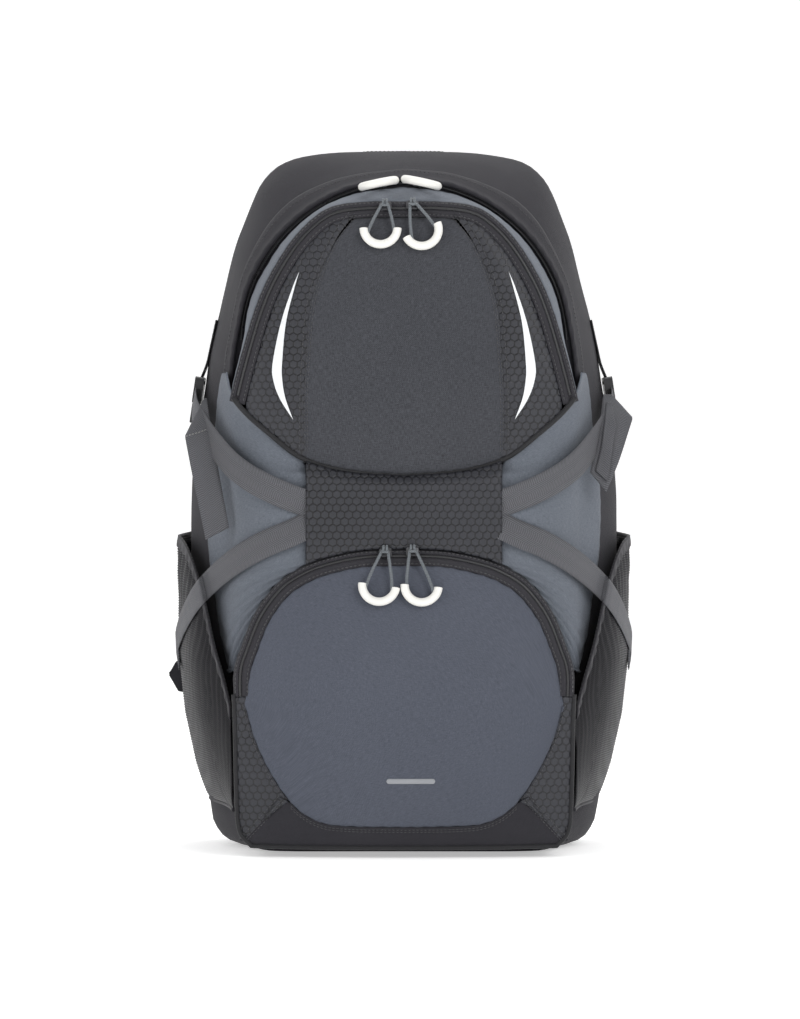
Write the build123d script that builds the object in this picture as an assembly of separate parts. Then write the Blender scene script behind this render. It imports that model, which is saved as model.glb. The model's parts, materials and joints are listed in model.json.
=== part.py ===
from build123d import *
import math
import os

os.makedirs("parts", exist_ok=True)

# Daypack of about 30 litres. It stands on its base: the front faces -Y, the wearer's back +Y, +Z is up.
# The origin is in the base's underside. All sizes are in millimetres.

# ---- driving dimensions ----
CLOTH = 2.5                     # fabric with its lining and foam
SKIN = 1.5                      # a single layer of fabric
WEBBING = 1.6                   # thickness of webbing
STRAP_WIDTH = 20.0
FRONT_Y = -45.0                 # wall between the main and front compartments
WIDEST_Y = 20.0                 # where the pack is widest
BACK_Y = 80.0                   # face of the back panel
RIM_Y = -84.0                   # rim of the front compartment
RIM_FLOOR = 331.0               # where the wings take over from the front compartment's arch
POCKET_RIM_Y = -97.0            # rim of the lower pocket
TOP_SEAM_Z = 455.0              # seam between the side panels and the top panel
ZIP_WIDTH = 12.0                # a flap's zip tape with its binding
SLIT = 0.3                      # gap between a flap and what it folds from
LAP = 0.4                       # gap between layers that are sewn over each other
FAR = 400.0                     # beyond every side of the pack
CUT_FRONT = -150.0              # front-view cuts of the panels start here, ahead of the pack,
CUT_BACK = -60.0                # and end here, behind the crowned panels

# Crowned panels are caps of a sphere, so that a slider that swings about the sphere's axis stays on them.
CROWN_RADIUS = 600.0
PANEL_CENTRE_Z = 367.0
PANEL_APEX_Y = -95.5
PANEL_FOLD_Z = 330.0
POCKET_CENTRE_Z = 88.0
POCKET_APEX_Y = -110.5
POCKET_FOLD_Z = 116.0

# Zip sliders travel on circles about these heights.
PANEL_ZIP_RADIUS = 111.5
POCKET_ZIP_RADIUS = 135.5
MAIN_ZIP_Z = 377.0
MAIN_ZIP_RADIUS = 121.3


def around_zip(angle, radius):
    """A point on a circle about the main zip's centre, at an angle from the top."""
    turn = math.radians(angle)
    return radius * math.sin(turn), MAIN_ZIP_Z + radius * math.cos(turn)


# Half outlines, from the top centre down to the base, as (x, z).
BODY_FRONT = [around_zip(a, 125) for a in (0, 17, 34, 51, 68, 85)] + [
    (129, 355), (130, 310), (128, 200), (126, 100), (120, 30), (108, 0)]
BODY_WIDEST = [(0, 528), (50, 526.5), (78, 523), (95, 517), (105, 508), (112, 497), (121, 474), (129, 452),
               (138, 415), (146, 380), (151, 350), (161, 282), (161, 200), (154, 90), (146, 30), (128, 0)]
BODY_BACK = [(0, 519), (44, 517), (74, 508), (90, 486), (106, 452), (119, 415), (129, 375), (136, 335),
             (143, 280), (146, 200), (142, 90), (132, 30), (116, 0)]
RIM = [(0, 482), (27, 482), (51, 479), (67, 470), (84, 452), (100, 426), (110.5, 401), (121, 366), (129, 335)]
RIM_ROOT = [around_zip(a, 118.5) for a in (0, 16, 28, 40, 52, 66, 78, 90)] + [(127, 335)]
POCKET_ARCH = [(0, 226), (56, 220), (75, 213), (93, 201), (109, 180), (119, 156), (125, 135), (123.5, 100),
               (123, 50), (121, 20), (112, 8)]
POCKET_PANEL = [(0, 22.5), (60, 24.5), (81, 36), (98, 62), (110, 88), (117, 112)]
FRONT = Plane(origin=(0, 0, 0), x_dir=(1, 0, 0), z_dir=(0, -1, 0))


# ---- construction helpers ----
def mirrored(half):
    """The whole outline of a half outline that starts on the centre line."""
    return [(-x, z) for x, z in reversed(half[1:])] + list(half)


def inset(half, gap):
    """The half outline moved inwards by gap, square to its own direction."""
    moved = []
    for i, (x, z) in enumerate(half):
        before = half[max(i - 1, 0)]
        after = half[min(i + 1, len(half) - 1)]
        run, rise = after[0] - before[0], after[1] - before[1]
        size = math.hypot(run, rise)
        if i == 0:
            moved.append((x, z - gap))
        elif i == len(half) - 1:
            moved.append((x - gap, z + gap))
        else:
            moved.append((x + rise / size * gap, z - run / size * gap))
    return moved


def closed(points, plane):
    """A face bounded by a smooth line through the points and a straight line back to the start."""
    edge = Spline(*points)
    return plane * make_face(edge + Line(edge @ 1, edge @ 0))


def front_face(half, y):
    return closed(mirrored(half), FRONT.offset(-y))


def slab(sketch, y_front, y_back):
    """A front-view sketch as a solid from y_front to y_back."""
    return extrude(FRONT.offset(-y_back) * sketch, amount=y_back - y_front)


def column(sketch, z_low, z_high):
    """A plan-view sketch as a solid from z_low to z_high."""
    return extrude(Plane.XY.offset(z_low) * sketch, amount=z_high - z_low)


def front_cut(sketch):
    """A front-view sketch as a solid that reaches through the crowned panels."""
    return slab(sketch, CUT_FRONT, CUT_BACK)


def region(x0, x1, y0, y1, z0, z1):
    return Pos((x0 + x1) / 2, (y0 + y1) / 2, (z0 + z1) / 2) * Box(x1 - x0, y1 - y0, z1 - z0)


def above(z):
    return region(-FAR, FAR, -FAR, FAR, z, 2 * FAR)


def closed_polygon(points):
    return make_face(Polyline(*points, close=True))


def outline_polygon(half):
    """A straight-sided closed outline from its right half, top to bottom."""
    return closed_polygon([(-x, z) for x, z in reversed(half) if x] + list(half))


def cap(centre_z, apex_y, outer, thickness):
    """A shell of a sphere whose nearest point is apex_y, lowered by outer and this thick."""
    centre = Pos(0, apex_y + CROWN_RADIUS, centre_z)
    return centre * Sphere(CROWN_RADIUS - outer) - centre * Sphere(CROWN_RADIUS - outer - thickness)


def strip(points, thickness):
    """A plan-view strip that follows a smooth line and is this thick towards its left side."""
    outer = Spline(*points)
    inner_points = []
    for i, (x, y) in enumerate(points):
        before = points[max(i - 1, 0)]
        after = points[min(i + 1, len(points) - 1)]
        run, rise = after[0] - before[0], after[1] - before[1]
        size = math.hypot(run, rise)
        inner_points.append((x - rise / size * thickness, y + run / size * thickness))
    inner = Spline(*inner_points)
    return make_face(outer + inner + Line(outer @ 0, inner @ 0) + Line(outer @ 1, inner @ 1))


def flip(shape):
    """The other side's copy of a shape."""
    return mirror(shape, about=Plane.YZ)


def both(shape):
    return Compound(children=[*shape.solids(), *flip(shape).solids()])


nodes = {}


def save(name, shape):
    solids = shape.solids()
    nodes[name] = solids[0] if len(solids) == 1 else Compound(children=list(solids))


# ---- main compartment ----
def body_loft(gap):
    sections = [(BODY_FRONT, FRONT_Y + gap), (BODY_WIDEST, WIDEST_Y), (BODY_BACK, BACK_Y - gap)]
    return loft([front_face(inset(half, gap) if gap else half, y) for half, y in sections], ruled=True)


body_outer = body_loft(0)
shell = body_outer - body_loft(CLOTH)


def main_compartment():
    ring_front, ring_back = FRONT_Y + CLOTH, BACK_Y - CLOTH
    ring = shell & region(-FAR, FAR, ring_front, ring_back, -FAR, 2 * FAR)
    save("back_panel", shell & region(-FAR, FAR, ring_back, FAR, -FAR, 2 * FAR))
    save("partition_panel", shell & region(-FAR, FAR, -FAR, ring_front, -FAR, 2 * FAR))
    save("base_panel", ring - above(CLOTH))
    upper = ring & above(CLOTH)
    sides = upper - above(TOP_SEAM_Z)
    save("left_side_panel", sides & region(-FAR, 0, -FAR, FAR, 0, FAR * 2))
    save("right_side_panel", sides & region(0, FAR, -FAR, FAR, 0, FAR * 2))
    save("top_panel", upper & above(TOP_SEAM_Z))


# ---- front compartment ----
def rim_loft(gap, floor):
    """The tapering arch of the front compartment, from its rim back to the main compartment."""
    sections = [(RIM, RIM_Y - gap), (RIM_ROOT, FRONT_Y - LAP + gap)]
    faces = []
    for half, y in sections:
        points = inset(half, gap) if gap else half
        faces.append(front_face(points[:-1] + [(points[-1][0], floor)], y))
    return loft(faces, ruled=True)


rim_outer = rim_loft(0, RIM_FLOOR)


def behind(centre_z, apex_y):
    """Everything behind the back of a crowned panel."""
    return Pos(0, apex_y + CROWN_RADIUS, centre_z) * Sphere(CROWN_RADIUS - CLOTH - SLIT)


# The panel's own tail below the arch, the outline of its smooth middle, and the reflective slivers on it.
PANEL_TAIL = [(126, 349), (112, 322), (71, 293), (0, 281)]
PANEL_INSIDE_TAIL = [(115, 349), (104, 322), (71, 200), (0, 200)]
PANEL_MIDDLE = [(0, 500), (39, 500), (60, 440), (73, 380), (73, 200), (0, 200)]
SLIVER = [(76, 429), (88, 400), (96.5, 356), (92, 338), (81, 331.5), (88, 350), (86, 395)]
SLIVER_THICKNESS = 0.6
SLIVER_LIFT = 0.7               # how far a sliver's face stands in front of the panel


def front_compartment():
    gusset = rim_outer - rim_loft(SKIN, RIM_FLOOR - 30)
    save("front_gusset", gusset & behind(PANEL_CENTRE_Z, PANEL_APEX_Y))
    whole = [(0, RIM[0][1] - 1), *[(x - 1, z - 1) for x, z in RIM[1:-1]], *PANEL_TAIL]
    panel = front_cut(outline_polygon(whole)) & cap(PANEL_CENTRE_Z, PANEL_APEX_Y, 0, CLOTH)
    centre = front_cut(outline_polygon(PANEL_MIDDLE))
    inside = front_cut(outline_polygon(inset(RIM[:-1], ZIP_WIDTH) + PANEL_INSIDE_TAIL))
    flap = panel & above(PANEL_FOLD_Z + SLIT)
    save("front_zip", flap - inside)
    save("front_panel", (flap & inside) & centre)
    save("front_side_panels", (flap & inside) - centre)
    save("front_panel_base", panel - above(PANEL_FOLD_Z))
    sliver = cap(PANEL_CENTRE_Z, PANEL_APEX_Y, -SLIVER_LIFT, SLIVER_THICKNESS)
    save("reflective_slivers", both(front_cut(closed_polygon(SLIVER)) & sliver))


# ---- wings and mid band ----
WING_PLAN = [(70, -90.5), (100, -84), (122, -66), (136, -42), (152, -8), (158, 6)]
WING_EDGE = [(71.5, 291.5), (100, 311.5), (117, 326.5), (131, 348), (135.5, 358), (140.4, 339), (143, 313),
             (148.5, 267), (148.5, 238), (146.5, 212), (142.5, 190), (137.5, 158), (130, 134), (127, 138),
             (121, 158), (111, 182), (94.5, 203.5), (76, 215.5), (71.5, 217)]
BAND_TOP = [(-71, 291.5), (0, 279.5), (71, 291.5)]
BAND_BOTTOM = [(71, 216.5), (0, 228.5), (-71, 216.5)]
BAND_PLAN = [(-80, -92), (0, -94), (80, -92)]
WING_THICKNESS = 2.0


def wings_and_band():
    plan = column(strip(WING_PLAN, WING_THICKNESS), 120, 370)
    wing = (plan & slab(closed_polygon(WING_EDGE), CUT_FRONT, WIDEST_Y)) - body_outer - rim_outer
    wing = wing - slab(outline_polygon(POCKET_ARCH), POCKET_RIM_Y, FRONT_Y)
    save("wings", both(wing))
    top = ThreePointArc(*BAND_TOP)
    bottom = ThreePointArc(*BAND_BOTTOM)
    face = make_face(top + bottom + Line(top @ 1, bottom @ 0) + Line(bottom @ 1, top @ 0))
    bowed = column(strip(BAND_PLAN, WING_THICKNESS), 200, 300)
    save("mid_band", front_cut(face) & bowed)


# ---- lower front pocket ----
CORNER_CUT = [(150, 130), (110, 130), (60, 50), (82, 36), (90, 42), (120, 8), (150, 8)]


def lower_pocket():
    outer = closed_polygon(mirrored(POCKET_ARCH))
    inner = closed_polygon(mirrored(inset(POCKET_ARCH, SKIN)))
    wall = slab(outer - inner, POCKET_RIM_Y, FRONT_Y - LAP)
    save("lower_gusset", wall & behind(POCKET_CENTRE_Z, POCKET_APEX_Y))
    top_z = POCKET_ARCH[0][1]
    face = outline_polygon([(0, top_z - 0.5), *[(x - 0.7, z - 0.5) for x, z in POCKET_ARCH[1:]]])
    panel = front_cut(face) & cap(POCKET_CENTRE_Z, POCKET_APEX_Y, 0, CLOTH)
    arch = inset(POCKET_ARCH[:7], ZIP_WIDTH)[1:-1]
    inside = front_cut(outline_polygon([(0, top_z - ZIP_WIDTH), *arch, (112, 136), *POCKET_PANEL[::-1]]))
    flap = panel & above(POCKET_FOLD_Z + SLIT)
    fixed = panel - above(POCKET_FOLD_Z)
    save("lower_zip", flap - inside)
    save("lower_panel", flap & inside)
    save("lower_panel_base", fixed & inside)
    border = fixed - inside
    corner = front_cut(closed_polygon(CORNER_CUT))
    save("corner_panels", both(border & corner))
    save("lower_base_panel", border - corner - flip(corner))


# ---- stretch side pockets ----
# How far a pocket swells at each height, and its plan as (x, y, share of the swell).
MESH_SWELL = [(34, 0.0), (62, 9.0), (100, 17.0), (142, 22.0), (200, 22.0), (240, 22.0)]
MESH_PLAN = [(126, -88, 0.0), (131, -55, 0.5), (140, -15, 0.9), (149, 30, 1.0), (149, 48, 1.0),
             (146, 77, 0.6)]
MESH_ROOT_X = 100.0             # the plan is closed inside the body
MESH_HEM = [(-95, 94), (-60, 150), (-10, 222), (80, 240), (80, 300), (-95, 300)]


def mesh_face(z, swell, gap):
    edge = Spline(*[(x + swell * share - gap, y) for x, y, share in MESH_PLAN])
    ends = [(MESH_ROOT_X, MESH_PLAN[-1][1]), (MESH_ROOT_X, MESH_PLAN[0][1])]
    return Plane.XY.offset(z) * make_face(edge + Polyline(edge @ 1, *ends, edge @ 0))


def mesh_pockets():
    outer = loft([mesh_face(z, swell, 0) for z, swell in MESH_SWELL], ruled=True)
    (low, none), (high, full) = MESH_SWELL[0], MESH_SWELL[-1]
    levels = [(low + SKIN, none)] + MESH_SWELL[1:-1] + [(high + 1, full)]
    inner = loft([mesh_face(z, swell, SKIN) for z, swell in levels], ruled=True)
    hem_cut = extrude(Plane.YZ * closed_polygon(MESH_HEM), amount=FAR)
    pocket = outer - inner - hem_cut - body_outer
    pocket = pocket - slab(closed_polygon(mirrored(POCKET_ARCH)), POCKET_RIM_Y, FRONT_Y)
    solids = sorted(pocket.solids(), key=lambda s: s.volume)
    save("mesh_pockets", both(solids[-1]))


# ---- compression straps ----
TAIL_HANG = [(1, 346), (-28, 325), (-46, 300), (-56, 270), (-65, 228)]
UPPER_PLAN = [(69, -97.5), (101, -90.5), (127.5, -70), (143, -42), (157, -8), (159, 14)]
LOWER_PLAN = [(69, -94.8), (101, -87.8), (126, -67), (144, -36), (163, 6), (174, 45), (170, 76)]
UPPER_EDGE = [(73, 269.5), (101, 282), (124.5, 297), (147, 330), (158, 345), (166, 345), (166, 322),
              (148, 300), (124.5, 275.5), (101, 262), (73, 250)]
LOWER_EDGE = [(73, 252), (101, 240.5), (124.5, 228.5), (141, 215.5), (156, 199), (167, 179.5), (180, 158),
              (180, 138), (170, 156), (156.5, 178), (140, 195), (124.5, 206), (95, 221), (73, 232)]
LEFT_TAIL = [(-156, 338), (-150, 338), (-141, 300), (-131, 241), (-148.5, 233), (-166, 312)]
RIGHT_TAIL = [(150, 340), (157, 343), (172, 324), (160, 291), (150.5, 268), (138, 283), (144, 305)]
SMALLEST_STRAP = 1000.0         # a cut strap leaves crumbs smaller than this


def compression_straps():
    upper = column(strip(UPPER_PLAN, WEBBING), 200, 360) & slab(closed_polygon(UPPER_EDGE), CUT_FRONT, 5)
    lower = column(strip(LOWER_PLAN, WEBBING), 120, 300) & slab(closed_polygon(LOWER_EDGE), CUT_FRONT, 78)
    straps = Compound(children=[*(upper - body_outer).solids(), *(lower - body_outer).solids()])
    straps = straps - nodes["wings"] - nodes["mesh_pockets"]
    straps = Compound(children=[solid for solid in straps.solids() if solid.volume > SMALLEST_STRAP])
    save("right_straps", straps)
    save("left_straps", flip(straps))
    hang = extrude(Plane.YZ.offset(-FAR / 2) * strip(TAIL_HANG, WEBBING), amount=FAR)
    clear = hang - straps - flip(straps)
    cuts = [clear & slab(closed_polygon(tail), CUT_FRONT, BACK_Y) for tail in (LEFT_TAIL, RIGHT_TAIL)]
    tails = [max(cut.solids(), key=lambda solid: solid.volume) for cut in cuts]
    save("strap_tails", Compound(children=tails))


# ---- main zip and its rain flap ----
TAPE = 1.4                      # how far the zip's tape stands in front of the compartment's wall
CLOSURE_FLOOR = RIM_FLOOR + 12
FLAP_LIP = 5.0                  # how far the rain flap reaches in front of the wall, over the zip,
FLAP_DEPTH = 11.0               # and back along the body
FLAP_GAP = 0.3
FLAP_OUTSIDE = 1.5


def main_closure():
    ring = inset(BODY_FRONT, LAP), inset(RIM_ROOT, -1.2)
    outer, inner = (closed_polygon(mirrored(half)) for half in ring)
    save("main_zip", slab(outer - inner, FRONT_Y - TAPE, FRONT_Y - 0.1) & above(CLOSURE_FLOOR))
    lifted = closed_polygon(mirrored(inset(BODY_FRONT, -FLAP_OUTSIDE)))
    lowered = closed_polygon(mirrored(inset(BODY_FRONT, -FLAP_GAP)))
    lip = slab(lifted - lowered, FRONT_Y - FLAP_LIP, FRONT_Y) - nodes["wings"]
    cover = body_loft(-FLAP_OUTSIDE) - body_loft(-FLAP_GAP)
    cover = cover & region(-FAR, FAR, FRONT_Y, FRONT_Y + FLAP_DEPTH, -FAR, 2 * FAR)
    save("rain_flap", (lip + cover) & above(CLOSURE_FLOOR))


# ---- zip sliders and their pulls ----
SLIDER_LENGTH = 9.0             # along the zip
SLIDER_THICKNESS = 3.0
RING_RADIUS = 2.0
RING_WIRE = 0.5
EYE_DEPTH = 5.4                 # how far the pull's hinge stands in front of the tape
CORD = 2.3
GRIP_RADIUS = 12.4
GRIP_TUBE = 3.1
GRIP_ARC = 176.0                # degrees of the grip's curve
SEAT = 0.4                      # gap between a slider and its tape
EYE_HALF = 1.9                  # the loop's two ends sit either side of the slider's ring, this far out,
EYE_DROP = 1.2                  # and this far below its hinge


def slider(width, eye):
    """A slider at the origin on a zip that runs along X, with its tape behind it at y = 0."""
    middle = -SEAT - SLIDER_THICKNESS / 2
    body = Pos(0, middle, 0) * Box(SLIDER_LENGTH, SLIDER_THICKNESS, width)
    body = fillet(body.edges().filter_by(Axis.Y), 1.5)
    body = body - Pos(0, middle, 0) * Box(SLIDER_LENGTH + 1, SLIDER_THICKNESS * 0.4, 1.6)
    ring = Pos(0, -EYE_DEPTH + RING_RADIUS - 0.6, eye) * Rot(0, 90, 0) * Torus(RING_RADIUS, RING_WIRE)
    return body + ring


def grip_corners(lean, drop, turn):
    """The four corners of the cord's route inside a grip whose middle is at (lean, -drop)."""
    corner = GRIP_RADIUS / math.cos(math.radians(22.5))
    angles = [math.radians(a + turn) for a in (202.5, 247.5, 292.5, 337.5)]
    return [(lean + corner * math.cos(a), -drop + corner * math.sin(a)) for a in angles]


def bend_radii(points):
    """0.45 of the shorter run, divided by the tangent of half the turn, at each inner corner."""
    radii = []
    for a, b, c in zip(points, points[1:], points[2:]):
        first, second = Vector(*b) - Vector(*a), Vector(*c) - Vector(*b)
        half_turn = math.radians(first.get_angle(second)) / 2
        radii.append(0.45 * min(first.length, second.length) / math.tan(half_turn))
    return radii


def pull(name, lean, drop, turn):
    """A cord loop and its curved grip, hung from the origin in the XZ plane."""
    flat = [(-EYE_HALF, -EYE_DROP), *grip_corners(lean, drop, turn), (EYE_HALF, -EYE_DROP)]
    route = [(x, 0, z) for x, z in flat]
    radii = bend_radii(route)
    path = FilletPolyline(*route, radius=radii)
    start = Plane(origin=path @ 0, z_dir=path % 0)
    cord = sweep(start * Circle(CORD / 2), path=path)
    print(name, "cord", round(path.length, 1), "bends", [round(r, 1) for r in radii])
    grip = Rot(90, 0, 0) * Torus(GRIP_RADIUS, GRIP_TUBE, major_angle=GRIP_ARC, align=None)
    grip = Pos(lean, 0, -drop) * Rot(0, 90 + GRIP_ARC / 2 - turn, 0) * grip
    return cord, grip


def zip_hardware(name, centre_z, tape_y, tilt, radius, width, eye, side, angle, swing, roll, loop):
    """A slider at an angle round its zip, with its pull. Tilt lays the slider back on a crowned panel."""
    local = slider(width, eye)
    seat = Pos(0, 0, centre_z) * Rot(0, angle, 0) * Pos(0, tape_y, radius) * Rot(-tilt, 0, 0)
    save(f"{name}_slider_{side}", seat * local)
    hinge = seat * Pos(0, -EYE_DEPTH, eye)
    place = Pos(*hinge.position) * Rot(0, roll, 0) * Rot(swing, 0, 0)
    cord, grip = pull(f"{name}_{side}", *loop)
    save(f"{name}_cord_{side}", place * cord)
    save(f"{name}_grip_{side}", place * grip)
    print(name, side, "hinge", [round(v, 2) for v in hinge.position])


def zips():
    def crown(apex_y, radius):
        rise = CROWN_RADIUS - math.sqrt(CROWN_RADIUS ** 2 - radius ** 2)
        return apex_y + rise, math.degrees(math.asin(radius / CROWN_RADIUS))

    panel_y, panel_tilt = crown(PANEL_APEX_Y, PANEL_ZIP_RADIUS)
    pocket_y, pocket_tilt = crown(POCKET_APEX_Y, POCKET_ZIP_RADIUS)
    # Each zip's centre height, tape, tilt and radius, then its sliders' width and eye height.
    main = ("main", MAIN_ZIP_Z, FRONT_Y - TAPE, 0, MAIN_ZIP_RADIUS, 4.4, 0.0)
    front = ("front", PANEL_CENTRE_Z, panel_y, panel_tilt, PANEL_ZIP_RADIUS, 6.4, 2.4)
    lower = ("lower", POCKET_CENTRE_Z, pocket_y, pocket_tilt, POCKET_ZIP_RADIUS, 6.4, 2.4)
    # Each slider's angle round the zip, its pull's swing and roll, and the loop's lean, drop and turn.
    zip_hardware(*main, "left", -8.0, -88, -11.5, (-2.0, 17, 0))
    zip_hardware(*main, "right", 5.2, -88, 12, (2.0, 17, 0))
    zip_hardware(*front, "left", -7.0, -10, 0, (-3.2, 19.5, 0))
    zip_hardware(*front, "right", 3.2, -10, 0, (6.6, 21.5, 25))
    zip_hardware(*lower, "left", -5.7, -10.5, 0, (-4.3, 27, -8))
    zip_hardware(*lower, "right", 2.6, -10.5, 0, (6.6, 28, -5))


# ---- buckles, their parts as (length, width, thickness) ----
SOCKET = (20.0, 26.0, 7.0)
SOCKET_MOUTH = (14.0, 20.0, 4.4)
SOCKET_WINDOW = (6.0, 28.0, 4.4)    # open at both sides, where the prongs are pressed
TONGUE = (15.0, 25.0, 6.0)
PRONG = (12.0, 2.6, 3.4)
BARB = (3.2, 2.0, 3.4)
GUIDE = (12.0, 2.4, 3.4)
WEB_SLOT = 2.6                  # a slot for webbing, along the buckle


def bar(size, x, y=0.0):
    """A block of the buckle whose middle is at (x, y)."""
    return Pos(x, y, 0) * Box(*size)


def buckle():
    """A side-release buckle about the origin: the socket towards +X, the tongue towards -X, flat on XY."""
    long, wide, thick = SOCKET
    socket = fillet(bar(SOCKET, long / 2).edges().filter_by(Axis.Z), 3)
    socket -= bar(SOCKET_MOUTH, 6.5) + bar(SOCKET_WINDOW, 7.5)
    socket -= bar((WEB_SLOT, 21, thick + 2), long - 3.8)
    long, wide, thick = TONGUE
    tongue = fillet(bar(TONGUE, -long / 2 - LAP).edges().filter_by(Axis.Z), 2.5)
    for x in (-5.2, -11.2):
        tongue -= bar((WEB_SLOT, 20.6, thick + 2), x)
    for side in (-1, 1):
        tongue += bar(PRONG, 5, side * 7.8) + bar(BARB, 8.6, side * 8.8)
    tongue += bar(GUIDE, 5)
    return socket, tongue


SIDE_BUCKLE = Pos(157.6, 23, 336) * Rot(0, -98.4, 0)
SIDE_WEBBING = (29.0, STRAP_WIDTH, WEBBING)


def side_buckles():
    socket, tongue = buckle()
    save("buckle_sockets", both(SIDE_BUCKLE * socket))
    tongue = SIDE_BUCKLE * tongue
    save("right_buckle_tongue", tongue)
    save("left_buckle_tongue", flip(tongue))
    webbing = SIDE_BUCKLE * (Pos(35, 0, -1.0) * Box(*SIDE_WEBBING))
    save("side_webbing", both(webbing - body_outer))


# ---- back panel, shoulder straps and handle ----
STRAP_CURVE = [(80.8, 500), (91, 482), (108, 440), (115, 370), (109, 290), (95, 222), (88, 190)]
STRAP_FOAM = 13.0
STRAP_INNER = [(14, 520), (22, 440), (30, 370), (43, 290), (65, 185)]
STRAP_OUTER = [(116, 185), (106, 290), (96, 370), (84, 440), (72, 520)]
PAD_Y = 86.0                    # middle of the back pads
PAD_THICKNESS = 11.0
SHEET = [(0, 470), (80, 460), (108, 390), (124, 260), (120, 60), (110, 50), (0, 50)]
SHEET_THICKNESS = 1.6
LOCK_Z = 176.0
LOCK_SIZE = (27.0, 4.5, 22.0)
LOCK_SLOT = (21.5, 10.0, 2.8)
TAIL_CURVE = [(95.5, 163), (91, 147), (85, 128)]
TAIL_CUT = [(81, 166), (101, 166), (158, 143), (150, 124)]
LEFT_TAB = [(-122, 108), (-122, 158), (-176, 137), (-182, 127), (-174, 113)]
RIGHT_TAB = [(122, 108), (122, 158), (160, 141), (167, 127), (160, 113)]
TAB_THICKNESS = 2.0
STERNUM_Y = 131.2
STERNUM_Z = 400.0
STERNUM_WIDTH = 18.0
HANDLE_Y = 79.0                 # where the grab handle is sewn down
HANDLE_Z = 523.1
HANDLE_SPAN = 72.0
HANDLE_REACH = 28.0
HANDLE_ROLL = 6.8


def shoulder_straps():
    inner, outer = Spline(*STRAP_INNER), Spline(*STRAP_OUTER)
    outline = make_face(inner + outer + Line(inner @ 1, outer @ 0) + Line(outer @ 1, inner @ 0))
    strap = extrude(Plane.YZ * strip(STRAP_CURVE, STRAP_FOAM), amount=150) & slab(outline, 60, 150)
    save("shoulder_straps", both(strap))
    pad = fillet((Pos(52, PAD_Y, 325) * Box(66, PAD_THICKNESS, 200)).edges().filter_by(Axis.Y), 18)
    lumbar = fillet((Pos(0, PAD_Y, 95) * Box(190, PAD_THICKNESS, 110)).edges().filter_by(Axis.Y), 25)
    save("back_pads", Compound(children=[*both(pad).solids(), lumbar.solids()[0]]))
    sheet_back = BACK_Y - CLOTH - LAP
    save("frame_sheet", slab(outline_polygon(SHEET), sheet_back - SHEET_THICKNESS, sheet_back))


def strap_adjusters():
    lock = fillet(Box(*LOCK_SIZE).edges().filter_by(Axis.Y), 3)
    for z in (-5.5, 1.0, 7.0):
        lock -= Pos(0, 0, z) * Box(*LOCK_SLOT)
    lock = Pos(91, 94.5, LOCK_Z) * lock
    save("right_ladder_lock", lock)
    save("left_ladder_lock", flip(lock))
    band = extrude(Plane.YZ * strip(TAIL_CURVE, -WEBBING), amount=200)
    band = band & slab(closed_polygon(TAIL_CUT), 60, 110)
    tab_y = BACK_Y + LAP
    tabs = [slab(closed_polygon(tab), tab_y, tab_y + TAB_THICKNESS) for tab in (LEFT_TAB, RIGHT_TAB)]
    save("strap_anchors", Compound(children=[*both(band).solids(), *[tab.solids()[0] for tab in tabs]]))


def sternum_strap():
    socket, tongue = buckle()
    middle = Pos(0, STERNUM_Y, STERNUM_Z) * Rot(0, 0, 180) * Rot(90, 0, 0)
    save("sternum_socket", middle * socket)
    save("sternum_tongue", middle * tongue)
    for side, x0, x1 in (("left", -66, -21), ("right", 17, 66)):
        band = Pos((x0 + x1) / 2, STERNUM_Y, STERNUM_Z) * Box(x1 - x0, WEBBING, STERNUM_WIDTH)
        save(f"sternum_webbing_{side}", band)


def grab_handle():
    slope = math.degrees(math.atan2(9, BACK_Y - WIDEST_Y))
    base = Pos(0, HANDLE_Y, HANDLE_Z) * Rot(-slope, 0, 0)
    half = HANDLE_SPAN / 2
    route = [(-half, 0, 0), (-half, -HANDLE_REACH, 0), (half, -HANDLE_REACH, 0), (half, 0, 0)]
    path = FilletPolyline(*route, radius=9)
    handle = sweep(Plane(origin=path @ 0, z_dir=path % 0) * Circle(HANDLE_ROLL / 2), path=path)
    save("grab_handle", base * handle)


for build in (main_compartment, front_compartment, wings_and_band, lower_pocket, mesh_pockets,
              compression_straps, main_closure, zips, side_buckles, shoulder_straps, strap_adjusters,
              sternum_strap, grab_handle):
    build()

for node, shape in nodes.items():
    export_step(shape, f"parts/{node}.step")
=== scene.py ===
import json
import math

import bpy
import numpy as np
from mathutils import Euler, Matrix, Vector, noise
from mathutils.bvhtree import BVHTree


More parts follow.
